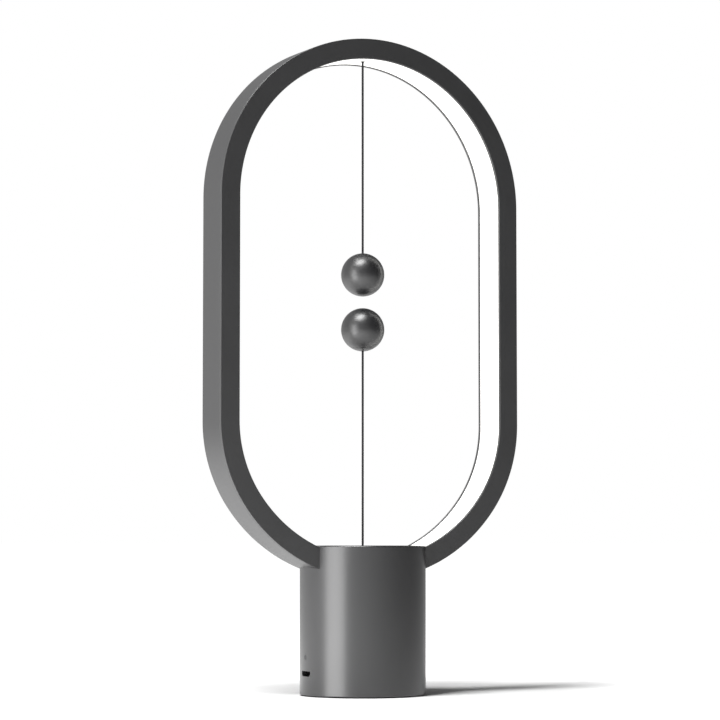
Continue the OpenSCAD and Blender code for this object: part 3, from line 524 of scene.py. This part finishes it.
def blend_colours(tree, factor, low, high):
    """A mix of two colours, each a value or a socket."""
    node = add_node(tree, "ShaderNodeMix", {"Factor": factor}, data_type="RGBA")
    colours = [socket for socket in node.inputs if socket.type == "RGBA"]
    for socket, value in zip(colours, (low, high)):
        feed(tree, socket, value)
    return next(socket for socket in node.outputs if socket.type == "RGBA")


def new_effect(name, *scales):
    """A shader node group from two colours, two roughnesses and its pattern's scales to a finish's skin."""
    grey = (0.5, 0.5, 0.5, 1)
    return new_group(name, "ShaderNodeTree", [
        ("Vector", "Vector", None),
        ("Low Colour", "Color", grey),
        ("High Colour", "Color", grey),
        ("Low Roughness", "Float", 0.3),
        ("High Roughness", "Float", 0.4),
    ] + [(label, "Float", scale) for label, scale in scales],
        [("Color", "Color"), ("Roughness", "Float"), ("Height", "Float")])


def end_effect(group, given, result, colour, gloss, height):
    """Ends an effect: its masks lead from its low to its high colour and roughness."""
    spread = add_node(group, "ShaderNodeMapRange", {
        "Value": gloss, "From Min": NOISE_LOW, "From Max": NOISE_HIGH,
        "To Min": given["Low Roughness"], "To Max": given["High Roughness"]})
    feed(group, result["Color"], blend_colours(group, colour, given["Low Colour"], given["High Colour"]))
    feed(group, result["Roughness"], spread.outputs[0])
    feed(group, result["Height"], height)
    return group


def moulded_grain(name):
    """Spark-eroded skin of a moulding: fine pits in the height, slow clouds in colour and gloss."""
    fine_share = 0.45
    group, given, result = new_effect(name, ("Grain Scale", 6000.0), ("Cloud Scale", 30.0))
    fine = noise(group, given["Vector"], given["Grain Scale"], detail=3.0, roughness=0.6)
    cloud = noise(group, given["Vector"], given["Cloud Scale"], detail=4.0, roughness=0.55)
    mixed = calc(group, "ADD", calc(group, "MULTIPLY", fine, fine_share),
                 calc(group, "MULTIPLY", cloud, 1 - fine_share))
    return end_effect(group, given, result, mixed, cloud, fine)


def drawn_lines(name):
    """Fine lines that drawing, turning or rolling leaves on metal and film, along one axis."""
    cloud_scale, lines_share, along = 90.0, 0.5, 0.06
    group, given, result = new_effect(name, ("Line Scale", 4000.0))
    stretch = add_node(group, "ShaderNodeMapping", {"Vector": given["Vector"], "Scale": (along, 1.0, 1.0)})
    lines = noise(group, stretch.outputs[0], given["Line Scale"])
    cloud = noise(group, given["Vector"], cloud_scale, detail=3.0)
    gloss = calc(group, "MULTIPLY_ADD", lines, lines_share, calc(group, "MULTIPLY", cloud, 1 - lines_share))
    return end_effect(group, given, result, lines, gloss, lines)


def scaled_colour(colour, factor):
    return tuple(min(1.0, c * factor) for c in colour[:3]) + (1,)


def new_material(name):
    """A material with its node tree and its Principled BSDF."""
    material = bpy.data.materials.new(name)
    material.use_nodes = True
    return material, material.node_tree, material.node_tree.nodes["Principled BSDF"]


def grained(name, effect, make, colour, spread=0.25, roughness=(0.3, 0.4), bump=0.05, scales=None, **uniform):
    """A material on the Principled BSDF whose colour, gloss and skin come from one of the effects."""
    material, tree, shader = new_material(name)
    place = add_node(tree, "ShaderNodeTexCoord")
    group = add_node(tree, "ShaderNodeGroup", {
        "Vector": place.outputs["Object"],
        "Low Colour": scaled_colour(colour, 1 - spread),
        "High Colour": scaled_colour(colour, 1 + spread),
        "Low Roughness": roughness[0],
        "High Roughness": roughness[1],
        **(scales or {}),
    }, node_tree=group_named(effect, make))
    skin = add_node(tree, "ShaderNodeBump", {
        "Strength": bump, "Distance": BUMP_DEPTH, "Height": group.outputs["Height"]})
    feed(tree, shader.inputs["Base Color"], group.outputs["Color"])
    feed(tree, shader.inputs["Roughness"], group.outputs["Roughness"])
    feed(tree, shader.inputs["Normal"], skin.outputs["Normal"])
    for label, value in uniform.items():
        shader.inputs[label.replace("_", " ")].default_value = value
    return material


def plastic(name, colour, **values):
    return grained(name, "Moulded Grain", moulded_grain, colour, **values)


def metal(name, colour, **values):
    return grained(name, "Drawn Lines", drawn_lines, colour, spread=0.08, Metallic=1.0, **values)


def glowing(name, colour, strength, edge):
    """Lit opal plastic: brightest along the middle of its band, a little dimmer towards its edges."""
    edge_power, edge_light = 4.0, 0.8
    cloud_scale, cloud_share = 60.0, 0.08
    material, tree, shader = new_material(name)
    place = add_node(tree, "ShaderNodeTexCoord").outputs["Object"]
    parts = add_node(tree, "ShaderNodeSeparateXYZ", {0: place})
    across = calc(tree, "DIVIDE", calc(tree, "ABSOLUTE", parts.outputs["Y"]), edge)
    fall = calc(tree, "POWER", calc(tree, "MINIMUM", across, 1.0), edge_power)
    cloud = noise(tree, place, cloud_scale)
    mixed = calc(tree, "MULTIPLY_ADD", cloud, cloud_share, fall)
    rough = add_node(tree, "ShaderNodeMapRange", {"Value": cloud, "To Min": 0.35, "To Max": 0.5})
    feed(tree, shader.inputs["Emission Color"], blend_colours(tree, mixed, colour, scaled_colour(colour, edge_light)))
    feed(tree, shader.inputs["Emission Strength"], strength)
    feed(tree, shader.inputs["Base Color"], blend_colours(tree, cloud, (0.8, 0.8, 0.78, 1), (0.86, 0.86, 0.84, 1)))
    feed(tree, shader.inputs["Roughness"], rough.outputs[0])
    return material


def finishes():
    """Every finish of the lamp by its slot's name, made once."""
    made = {m["lamp_slot"]: m for m in bpy.data.materials if "lamp_slot" in m}
    if made:
        return made
    c = settings("lamp_colours")
    edge = settings("lamp_ring").half_depth
    shell = {"bump": 0.03, "IOR": 1.8, "scales": {"Grain Scale": 5200.0, "Cloud Scale": 34.0}}
    fibre = {"Grain Scale": 9000.0, "Cloud Scale": 400.0}
    matt = {"Grain Scale": 3000.0, "Cloud Scale": 60.0}
    made = {
        "frame_plastic": plastic("ring_graphite", c.ring, roughness=(0.36, 0.42), **shell),
        "base_plastic": plastic("base_graphite", c.base, roughness=(0.28, 0.32), **shell),
        "ball_plastic": plastic("ball_graphite", c.ball, roughness=(0.33, 0.37), **shell),
        "opal_diffuser": glowing("opal_lit", c.glow, 1.0, edge),
        "white_plastic": plastic("ivory_moulding", (0.72, 0.72, 0.7, 1), spread=0.06, roughness=(0.3, 0.42)),
        "strip_film": plastic("strip_film_satin", (0.62, 0.6, 0.52, 1), spread=0.08, roughness=(0.35, 0.5)),
        "led_phosphor": glowing("phosphor_lit", (1.0, 0.93, 0.62, 1), 3.0, edge),
        "cord": plastic("cord_fibre", c.cord, spread=0.4, roughness=(0.55, 0.75), bump=0.3, scales=fibre,
                        Specular_IOR_Level=0.25),
        "magnet_steel": metal("magnet_plating", (0.6, 0.6, 0.62, 1), roughness=(0.12, 0.2)),
        "steel": metal("turned_steel", c.steel, roughness=(0.22, 0.34)),
        "socket_steel": metal("socket_plating", (0.5, 0.5, 0.51, 1), roughness=(0.25, 0.36)),
        "nickel": metal("nickel_strip", (0.62, 0.6, 0.56, 1), roughness=(0.16, 0.26)),
        "gold_brass": metal("brass_blade", (0.72, 0.53, 0.25, 1), roughness=(0.2, 0.3)),
        "foot_rubber": plastic("matt_rubber", c.rubber, spread=0.35, roughness=(0.7, 0.85), bump=0.2, scales=matt),
        "inner_plastic": plastic("inner_moulding", (0.03, 0.03, 0.032, 1), roughness=(0.42, 0.52)),
        "circuit_board": plastic("board_lacquer", (0.012, 0.075, 0.03, 1), spread=0.3, roughness=(0.25, 0.35)),
        "component_black": plastic("component_moulding", (0.015, 0.015, 0.016, 1), roughness=(0.4, 0.5)),
        "capacitor_tan": plastic("capacitor_ceramic", (0.4, 0.27, 0.13, 1)),
        "clear_plastic": plastic("smoked_window", (0.02, 0.021, 0.022, 1), spread=0.1, bump=0.02),
        "red_plastic": plastic("button_red", (0.5, 0.03, 0.02, 1)),
        "cell_sleeve": plastic("sleeve_blue", (0.02, 0.09, 0.3, 1), spread=0.2, roughness=(0.25, 0.35)),
        "wire_red": plastic("wire_red_sheath", (0.45, 0.015, 0.012, 1), roughness=(0.35, 0.45)),
        "wire_yellow": plastic("wire_yellow_sheath", (0.6, 0.45, 0.05, 1), roughness=(0.35, 0.45)),
    }
    for slot, material in made.items():
        material["lamp_slot"] = slot
    return made


def dress(piece, body, slot, node, sharp=SMOOTH_ANGLE):
    """Gives a turned or cut piece its finish and shading, and the place of its CAD node."""
    piece.data.materials.clear()
    piece.data.materials.append(finishes()[slot])
    shade(piece, sharp)
    stand_for(piece, body, node)


class LAMP_OT_finishes(Operator):
    """Give every node of the CAD model the finish of its slot"""
    bl_idname = "lamp.finishes"
    bl_label = "Finishes"

    def execute(self, context):
        made = finishes()
        slots = {part["node"]: part["material_slot"] for part in frame["record"]["subparts"]}
        for name, node in frame["nodes"].items():
            if slots.get(name) not in made:
                raise RuntimeError(name + ": no finish for its slot")
            node.data.materials.clear()
            node.data.materials.append(made[slots[name]])
        return {"FINISHED"}


# Pieces

# How far a cut runs on past what it cuts
CUT_MARGIN = 0.001
# The ring's bores: the gap round the cord, the bore for the cord's bush, the two wires' bores and where these
# lie, and how far a bore reaches above the ring's lowest point or the diffuser's face
CORD_CLEARANCE = 0.0005
FERRULE_BORE = 0.00153
WIRE_BORE = 0.0007
WIRE_TO_LEFT = 0.008
WIRE_TO_SIDES = 0.003
WALL_CUT = 0.004
BEND_CUT = 0.006


class LAMP_OT_ring(Operator):
    """Sweep the ring's two mouldings and its diffuser round the outline"""
    bl_idname = "lamp.ring"
    bl_label = "Ring"

    def execute(self, context):
        s = settings("lamp_ring")
        made = finishes()
        cord = settings("lamp_balls").cord_radius + CORD_CLEARANCE
        below = s.low - CUT_MARGIN
        face = s.top - s.band + s.recess
        shell_bores = [(0, 0, cord, below, s.low + WALL_CUT)]
        shell_bores += [(-WIRE_TO_LEFT, y, WIRE_BORE, below, s.low + BEND_CUT)
                        for y in (-WIRE_TO_SIDES, WIRE_TO_SIDES)]
        diffuser_bores = [(0, 0, cord, s.low + CUT_MARGIN, s.low + s.band + CUT_MARGIN),
                          (0, 0, FERRULE_BORE, face - CUT_MARGIN, face + BEND_CUT)]
        for name, section, slot, node, bores in (
                ("ring_shell", shell_section, "frame_plastic", "frame_rear_shell", shell_bores),
                ("ring_bezel", bezel_section, "frame_plastic", "frame_front_bezel", []),
                ("ring_diffuser", diffuser_section, "opal_diffuser", "diffuser", diffuser_bores)):
            outline = section(s)
            if area_of(outline) > 0:
                outline.reverse()
            loop = edge_loop("section", [(-p.x, p.y, 0) for p in outline])
            piece = edge_loop(name, [(p.x, p.y, 0) for p in ring_outline(s)])
            grow(piece, "Ring Sweep", ring_sweep_tree, {"Section": loop, "Finish": made[slot]})
            bpy.data.objects.remove(loop, do_unlink=True)
            if bores:
                combine(piece, [round_bar("bore", r, (x, y, low), (x, y, high)) for x, y, r, low, high in bores],
                        "DIFFERENCE")
            shade(piece)
            stand_for(piece, "stand", node)
        return {"FINISHED"}


# The base's screw posts in degrees round the tube, half their webs' thickness, their pilot holes and how far
# below the top these end, and the rounding of the socket mouth's corners
POST_ANGLES = (0, 120, 240)
WEB_HALF = 0.0008
PILOT_RADIUS = 0.00103
PILOT_STOP = 0.0016
MOUTH_EDGE = 0.0002


class LAMP_OT_base(Operator):
    """Turn the base tube, cut its two notches, the socket's mouth and the indicator's hole, and add the screw posts"""
    bl_idname = "lamp.base"
    bl_label = "Base tube"

    def execute(self, context):
        s = settings("lamp_base")
        sharp = math.radians(50)
        inside = s.radius - s.wall
        section = rounded([
            (inside, s.low, s.notch_edge), (s.radius, s.low, s.low_edge), (s.radius, s.top, s.top_edge),
            (inside, s.top, s.notch_edge),
        ], steps=5)
        tube = lathe("base_tube", section, s.segments)
        post_circle = inside - s.post_margin
        combine(tube, self.posts(s, post_circle, inside + s.wall / 2), "UNION")
        combine(tube, self.cuts(s, post_circle), "DIFFERENCE")
        edges = tube.modifiers.new("Bevel", "BEVEL")
        edges.width, edges.segments, edges.limit_method = s.notch_edge, 2, "ANGLE"
        edges.angle_limit = sharp
        edges.use_clamp_overlap = True
        dress(tube, "stand", "base_plastic", "base_shell", sharp)
        return {"FINISHED"}

    def posts(self, s, circle, wall):
        """The screw posts, each with a web to the middle of the tube's wall."""
        low, height = s.low + s.cover, s.post_height
        web = [(circle, -WEB_HALF), (wall, -WEB_HALF), (wall, WEB_HALF), (circle, WEB_HALF)]
        tools = []
        for angle in POST_ANGLES:
            turn = Matrix.Rotation(math.radians(angle), 3, "Z")
            foot = turn @ Vector((circle, 0, low))
            tools.append(round_bar("post", s.post_radius, foot, foot + Vector((0, 0, height))))
            tools.append(prism("web", [Vector(p) for p in web],
                               lambda p, side, turn=turn: turn @ Vector((p.x, p.y, low + side * height))))
        return tools

    def cuts(self, s, circle):
        """The ring's two notches, the socket's mouth, the indicator's hole and the posts' pilot holes."""
        ring = settings("lamp_ring")
        slab = ring.half_depth + s.notch_fit
        tools = [prism("notches", ring_outline(ring, s.notch_fit),
                       lambda p, side: Vector((p.x, slab * (2 * side - 1), p.y)))]
        w, h, c = s.port_width / 2, s.port_height / 2, s.port_corner
        corners = [(-w, h), (w, h), (w, c - h), (w - c, -h), (c - w, -h), (-w, c - h)]
        mouth = rounded([(across, up, MOUTH_EDGE) for across, up in corners])
        far = s.radius + CUT_MARGIN
        tools.append(prism("mouth", mouth, lambda p, side: Vector(
            (-circle - side * (far - circle), p.x, s.port_level + p.y))))
        tools.append(round_bar("window", s.window_radius, (-circle, 0, s.window_level), (-far, 0, s.window_level),
                               segments=32))
        pilot_top = s.low + s.cover + s.post_height - PILOT_STOP
        for angle in (math.radians(a) for a in POST_ANGLES):
            x, y = circle * math.cos(angle), circle * math.sin(angle)
            tools.append(round_bar("pilot", PILOT_RADIUS, (x, y, s.low), (x, y, pilot_top), segments=32))
        return tools


# Gap between a cord and its ball's plug
CORD_FIT = 0.00002


class LAMP_OT_balls(Operator):
    """Turn the two balls and the plugs on their cord sides"""
    bl_idname = "lamp.balls"
    bl_label = "Balls"

    def execute(self, context):
        s = settings("lamp_balls")
        r, e = s.radius, s.seam_edge
        pocket, hole = s.plug_radius + s.seam, s.cord_radius + CORD_FIT
        floor = s.magnet_cover - r
        rim, crown, mouth = (math.asin(x / r) for x in (pocket + e, s.plug_radius - e, hole + e))
        shell = [Vector((0, floor)), Vector((pocket, floor)), Vector((pocket, r * math.cos(rim) - e))]
        shell += self.arc(r, rim, math.pi, steps=72)
        plug = [Vector((hole, s.plug_seat)), Vector((s.plug_radius, s.plug_seat)),
                Vector((s.plug_radius, r * math.cos(crown) - e))]
        plug += self.arc(r, crown, mouth, steps=12)
        plug.append(Vector((hole, r * math.cos(mouth) - e)))
        for body, centre, flip in (("upper_ball", BALL_LOW.z + r, False), ("lower_ball", LOWER_BALL_HIGH.z - r, True)):
            for name, node, outline in (("_shell", "_shell", shell), ("_plug", "_cap", plug)):
                piece = lathe(body + name, outline, 128, centre=centre, flip=flip)
                dress(piece, body, "ball_plastic", body + node)
        return {"FINISHED"}

    def arc(self, radius, start, end, steps):
        """Points (radius, height) on a ball's outside, by their angle from its cord side."""
        angles = [start + (end - start) * i / steps for i in range(steps + 1)]
        return [Vector((radius * math.sin(angle), radius * math.cos(angle))) for angle in angles]


class LAMP_OT_cords(Operator):
    """Lay the two cords from the ring and from the base to their balls"""
    bl_idname = "lamp.cords"
    bl_label = "Cords"

    def execute(self, context):
        s = settings("lamp_balls")
        upper_low, upper_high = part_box("upper_cord")
        lower_low, lower_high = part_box("lower_cord")
        count = 24
        for name, start, end in (("upper_cord", upper_high.z, upper_low.z + s.knot_radius),
                                 ("lower_cord", lower_low.z, lower_high.z - s.knot_radius)):
            body = name.replace("cord", "ball")
            path = [(0.0, 0.0, start + (end - start) * i / count) for i in range(count + 1)]
            mesh = bpy.data.meshes.new(name)
            mesh.from_pydata(path, [(i, i + 1) for i in range(count)], [])
            piece = piece_from_mesh(name + "_laid", mesh)
            grow(piece, "Laid Cord", laid_cord_tree, {
                "Radius": s.cord_radius, "Strand Depth": s.strand_depth, "Lay": s.lay_length,
                "Finish": finishes()["cord"]})
            stand_for(piece, body, name)
        return {"FINISHED"}


class LAMP_OT_fittings(Operator):
    """Turn the steel eyelet in the base's cap and the ribbed rubber foot"""
    bl_idname = "lamp.fittings"
    bl_label = "Eyelet and foot"

    def execute(self, context):
        edge = 0.0001
        low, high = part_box("cord_eyelet")
        barrel, throat, mouth, flange = 0.0044, 0.0006, 0.0034, 0.0006
        rim_edge, mouth_edge, throat_edge = 0.0003, 0.0006, 0.0008
        outline = rounded([
            (throat, low.z, edge), (barrel, low.z, edge), (barrel, high.z - flange, 0),
            (high.x, high.z - flange, edge), (high.x, high.z, rim_edge), (mouth, high.z, mouth_edge),
            (throat, low.z + throat_edge, throat_edge),
        ], steps=6)
        dress(lathe("eyelet", outline, segments=96), "stand", "steel", "cord_eyelet")

        groove = settings("lamp_base").foot_groove
        radius, thick = FOOT_HIGH.x, FOOT_HIGH.z
        pitch, margin, foot_edge = 0.003, 0.002, 0.0004
        slope, bottom, width = 0.0002, 0.0006, 0.0008
        corners = [(0.0, thick, 0), (0.0, 0.0, 0)]
        ring = pitch
        while ring < radius - margin:
            corners += [(ring, 0.0, edge), (ring + slope, groove, edge), (ring + bottom, groove, edge),
                        (ring + width, 0.0, edge)]
            ring += pitch
        corners += [(radius, 0.0, foot_edge), (radius, thick, edge)]
        foot = lathe("rubber_foot", rounded(corners, steps=3), segments=128)
        dress(foot, "stand", "foot_rubber", "foot_pad")
        return {"FINISHED"}


# Stage

# The way to each lamp in the camera's directions (right, up, towards the camera), its distance from a point
# at the height "aim" above the lamp's foot, and whether it lights the floor or all the rest
LAMPS = (
    {"name": "top_softbox", "way": (-0.235, 0.93, 0.28), "aim": 0.13, "distance": 0.9, "size": (0.62, 0.54),
     "watts": 13.9, "floor": False},
    {"name": "side_panel", "way": (-0.785, -0.02, 0.62), "aim": 0.13, "distance": 1.0, "size": (0.66, 0.92),
     "watts": 7.4, "floor": False},
    {"name": "floor_top", "way": (-0.305, 0.845, 0.44), "aim": 0.0, "distance": 0.9, "size": (0.31, 0.31),
     "watts": 12.2, "floor": True},
)

# Brightness of the white surroundings in reflections: level with the lamp and straight ahead, what the right
# side loses and the left side gains, and what the top loses
MIRRORED = 0.5
MIRRORED_SIDE = 0.41
MIRRORED_TOP = 0.42


class LAMP_OT_stage(Operator):
    """Set the floor, the white room, the lamps and the camera"""
    bl_idname = "lamp.stage"
    bl_label = "Stage"

    def execute(self, context):
        s = settings("lamp_studio")
        scene = context.scene
        scene.view_settings.view_transform = "Standard"
        camera = bpy.data.objects.new("Camera", bpy.data.cameras.new("Camera"))
        camera.data.lens, camera.data.sensor_width = s.lens, 36.0
        camera.data.clip_start, camera.data.clip_end = 0.01, 200.0
        camera.location = s.camera
        camera.rotation_euler = (math.pi / 2 + s.rise, 0, -s.turn)
        scene.collection.objects.link(camera)
        scene.camera = camera

        self.room(scene, s)
        floor = self.floor(s)
        lit = bpy.data.collections.new("Floor")
        lit.objects.link(floor)
        unlit = bpy.data.collections.new("All but the floor")
        unlit.objects.link(floor)
        unlit.collection_objects[0].light_linking.link_state = "EXCLUDE"
        ahead, right = self.axes(s)
        for lamp in LAMPS:
            light = bpy.data.lights.new(lamp["name"], "AREA")
            light.shape, light.energy = "RECTANGLE", lamp["watts"]
            light.size, light.size_y = lamp["size"]
            to_right, to_top, to_camera = lamp["way"]
            way = (right * to_right - ahead * to_camera + Vector((0, 0, to_top))).normalized()
            holder = bpy.data.objects.new(lamp["name"], light)
            holder.location = Vector((0, 0, lamp["aim"])) + way * lamp["distance"]
            holder.rotation_euler = way.to_track_quat("Z", "Y").to_euler()
            holder.light_linking.receiver_collection = lit if lamp["floor"] else unlit
            if not lamp["floor"]:
                holder.light_linking.blocker_collection = unlit
            scene.collection.objects.link(holder)
        return {"FINISHED"}

    def axes(self, s):
        """The level directions away from the camera and to its right."""
        return Vector((math.sin(s.turn), math.cos(s.turn), 0)), Vector((math.cos(s.turn), -math.sin(s.turn), 0))

    def dimming(self, tree, direction):
        """How bright the white surroundings are in reflections: a little dimmer on the right and overhead."""
        turn = settings("lamp_studio").turn
        side = add_node(tree, "ShaderNodeVectorMath", {
            0: direction, 1: (-MIRRORED_SIDE * math.cos(turn), MIRRORED_SIDE * math.sin(turn), -MIRRORED_TOP),
        }, operation="DOT_PRODUCT")
        level = calc(tree, "MAXIMUM", calc(tree, "ADD", side.outputs["Value"], MIRRORED), 0.0)
        return calc(tree, "MINIMUM", level, 1.0)

    def seen(self, tree):
        """1 for camera rays and 1 for glossy and transmission rays, as two sockets."""
        path = add_node(tree, "ShaderNodeLightPath")
        shiny = calc(tree, "MAXIMUM", path.outputs["Is Glossy Ray"], path.outputs["Is Transmission Ray"])
        return path.outputs["Is Camera Ray"], shiny

    def room(self, scene, s):
        """White to the camera and in reflections, and a weak light from all round on everything else."""
        white = (1, 1, 1, 1)
        world = bpy.data.worlds.new("Room")
        scene.world = world
        world.use_nodes = True
        tree = world.node_tree
        tree.nodes.clear()
        way = add_node(tree, "ShaderNodeTexCoord")
        viewed, mirrored = self.seen(tree)
        bright = calc(tree, "MULTIPLY", mirrored, self.dimming(tree, way.outputs["Generated"]))
        shown = add_node(tree, "ShaderNodeBackground", {
            "Color": white, "Strength": calc(tree, "MAXIMUM", viewed, bright)})
        light = add_node(tree, "ShaderNodeBackground", {"Color": white, "Strength": s.room})
        pick = add_node(tree, "ShaderNodeMixShader", {
            0: calc(tree, "MAXIMUM", viewed, mirrored), 1: light.outputs[0], 2: shown.outputs[0]})
        add_node(tree, "ShaderNodeOutputWorld", {"Surface": pick.outputs[0]})

    def floor(self, s):
        """A pale floor that keeps the shadow near the lamp and glows white further off: painted light that also
        lightens the far end of the lamp's cast shadow, and in reflections a painted glow that starts right behind the
        lamp.
        """
        speckle_scale, speckle_depth = 900.0, 0.01
        away_end, behind_end = 2.5 * s.shadow_reach, 1.5 * s.shadow_reach
        reach = s.floor_reach
        mesh = bpy.data.meshes.new("floor")
        mesh.from_pydata([(-reach, -reach, 0), (reach, -reach, 0), (reach, reach, 0), (-reach, reach, 0)], [],
                         [(0, 1, 2, 3)])
        material, tree, shader = new_material("pale_floor")
        pale = settings("lamp_colours").floor
        place = add_node(tree, "ShaderNodeTexCoord").outputs["Object"]
        feed(tree, shader.inputs["Base Color"], blend_colours(
            tree, noise(tree, place, speckle_scale), scaled_colour(pale, 1 - speckle_depth),
            scaled_colour(pale, 1 + speckle_depth)))
        feed(tree, shader.inputs["Roughness"], 0.9)
        feed(tree, shader.inputs["Specular IOR Level"], 0.0)
        distance = add_node(tree, "ShaderNodeVectorMath", {0: place}, operation="LENGTH")
        # Painted light: from the shadow reach outwards the floor glows, white to the camera, and this glow lightens
        # the far end of the cast shadow
        away = self.fade(tree, distance.outputs["Value"], s.shadow_reach, away_end)
        depth = add_node(tree, "ShaderNodeVectorMath", {0: place, 1: self.axes(s)[0]}, operation="DOT_PRODUCT")
        # Painted reflection: in reflections the floor's glow starts right behind the lamp, a bright floor there for
        # the object to mirror
        behind = self.fade(tree, depth.outputs["Value"], 0.0, behind_end)
        way = add_node(tree, "ShaderNodeVectorMath", {0: place}, operation="NORMALIZE")
        viewed, mirrored = self.seen(tree)
        bright = calc(tree, "MULTIPLY", mirrored, self.dimming(tree, way.outputs["Vector"]))
        glow = add_node(tree, "ShaderNodeEmission", {"Strength": calc(
            tree, "MAXIMUM", calc(tree, "MULTIPLY", viewed, away),
            calc(tree, "MULTIPLY", bright, calc(tree, "MAXIMUM", away, behind)))})
        both = add_node(tree, "ShaderNodeAddShader", {0: shader.outputs[0], 1: glow.outputs[0]})
        side = add_node(tree, "ShaderNodeNewGeometry")
        open_below = add_node(tree, "ShaderNodeBsdfTransparent")
        surface = add_node(tree, "ShaderNodeMixShader", {
            0: side.outputs["Backfacing"], 1: both.outputs[0], 2: open_below.outputs[0]})
        feed(tree, tree.nodes["Material Output"].inputs["Surface"], surface.outputs[0])
        mesh.materials.append(material)
        return piece_from_mesh("floor", mesh)

    def fade(self, tree, value, start, end):
        """0 up to the start and 1 from the end on, with a soft rise between them."""
        return add_node(tree, "ShaderNodeMapRange", {"Value": value, "From Min": start, "From Max": end},
                        interpolation_type="SMOOTHSTEP").outputs[0]


# Add-on

GROUPS = {
    "lamp_ring": LampRingSizes,
    "lamp_base": LampBaseSizes,
    "lamp_balls": LampBallSizes,
    "lamp_colours": LampColours,
    "lamp_studio": LampStudio,
}
STEPS = ("finishes", "cords", "stage", "ring", "base", "fittings", "balls")


class LAMP_PT_panel(Panel):
    """The lamp's sizes, colours and steps"""
    bl_idname = "LAMP_PT_panel"
    bl_label = "Magnetic Balance Lamp"
    bl_space_type = "VIEW_3D"
    bl_region_type = "UI"
    bl_category = "Lamp"

    def draw(self, context):
        for group in GROUPS:
            values = getattr(context.scene, group)
            box = self.layout.box()
            for name in values.bl_rna.properties.keys():
                if name not in {"rna_type", "name"}:
                    box.prop(values, name)
        for name in STEPS:
            self.layout.operator("lamp." + name)


CLASSES = (LAMP_OT_finishes, LAMP_OT_ring, LAMP_OT_base, LAMP_OT_balls, LAMP_OT_cords, LAMP_OT_fittings,
           LAMP_OT_stage, LAMP_PT_panel)


def register():
    for name, group in GROUPS.items():
        bpy.utils.register_class(group)
        setattr(bpy.types.Scene, name, PointerProperty(type=group))
    for cls in CLASSES:
        bpy.utils.register_class(cls)


def unregister():
    for cls in reversed(CLASSES):
        bpy.utils.unregister_class(cls)
    for name, group in GROUPS.items():
        delattr(bpy.types.Scene, name)
        bpy.utils.unregister_class(group)


def main():
    register()
    for name in STEPS:
        getattr(bpy.ops.lamp, name)()


if __name__ == "__main__":
    main()
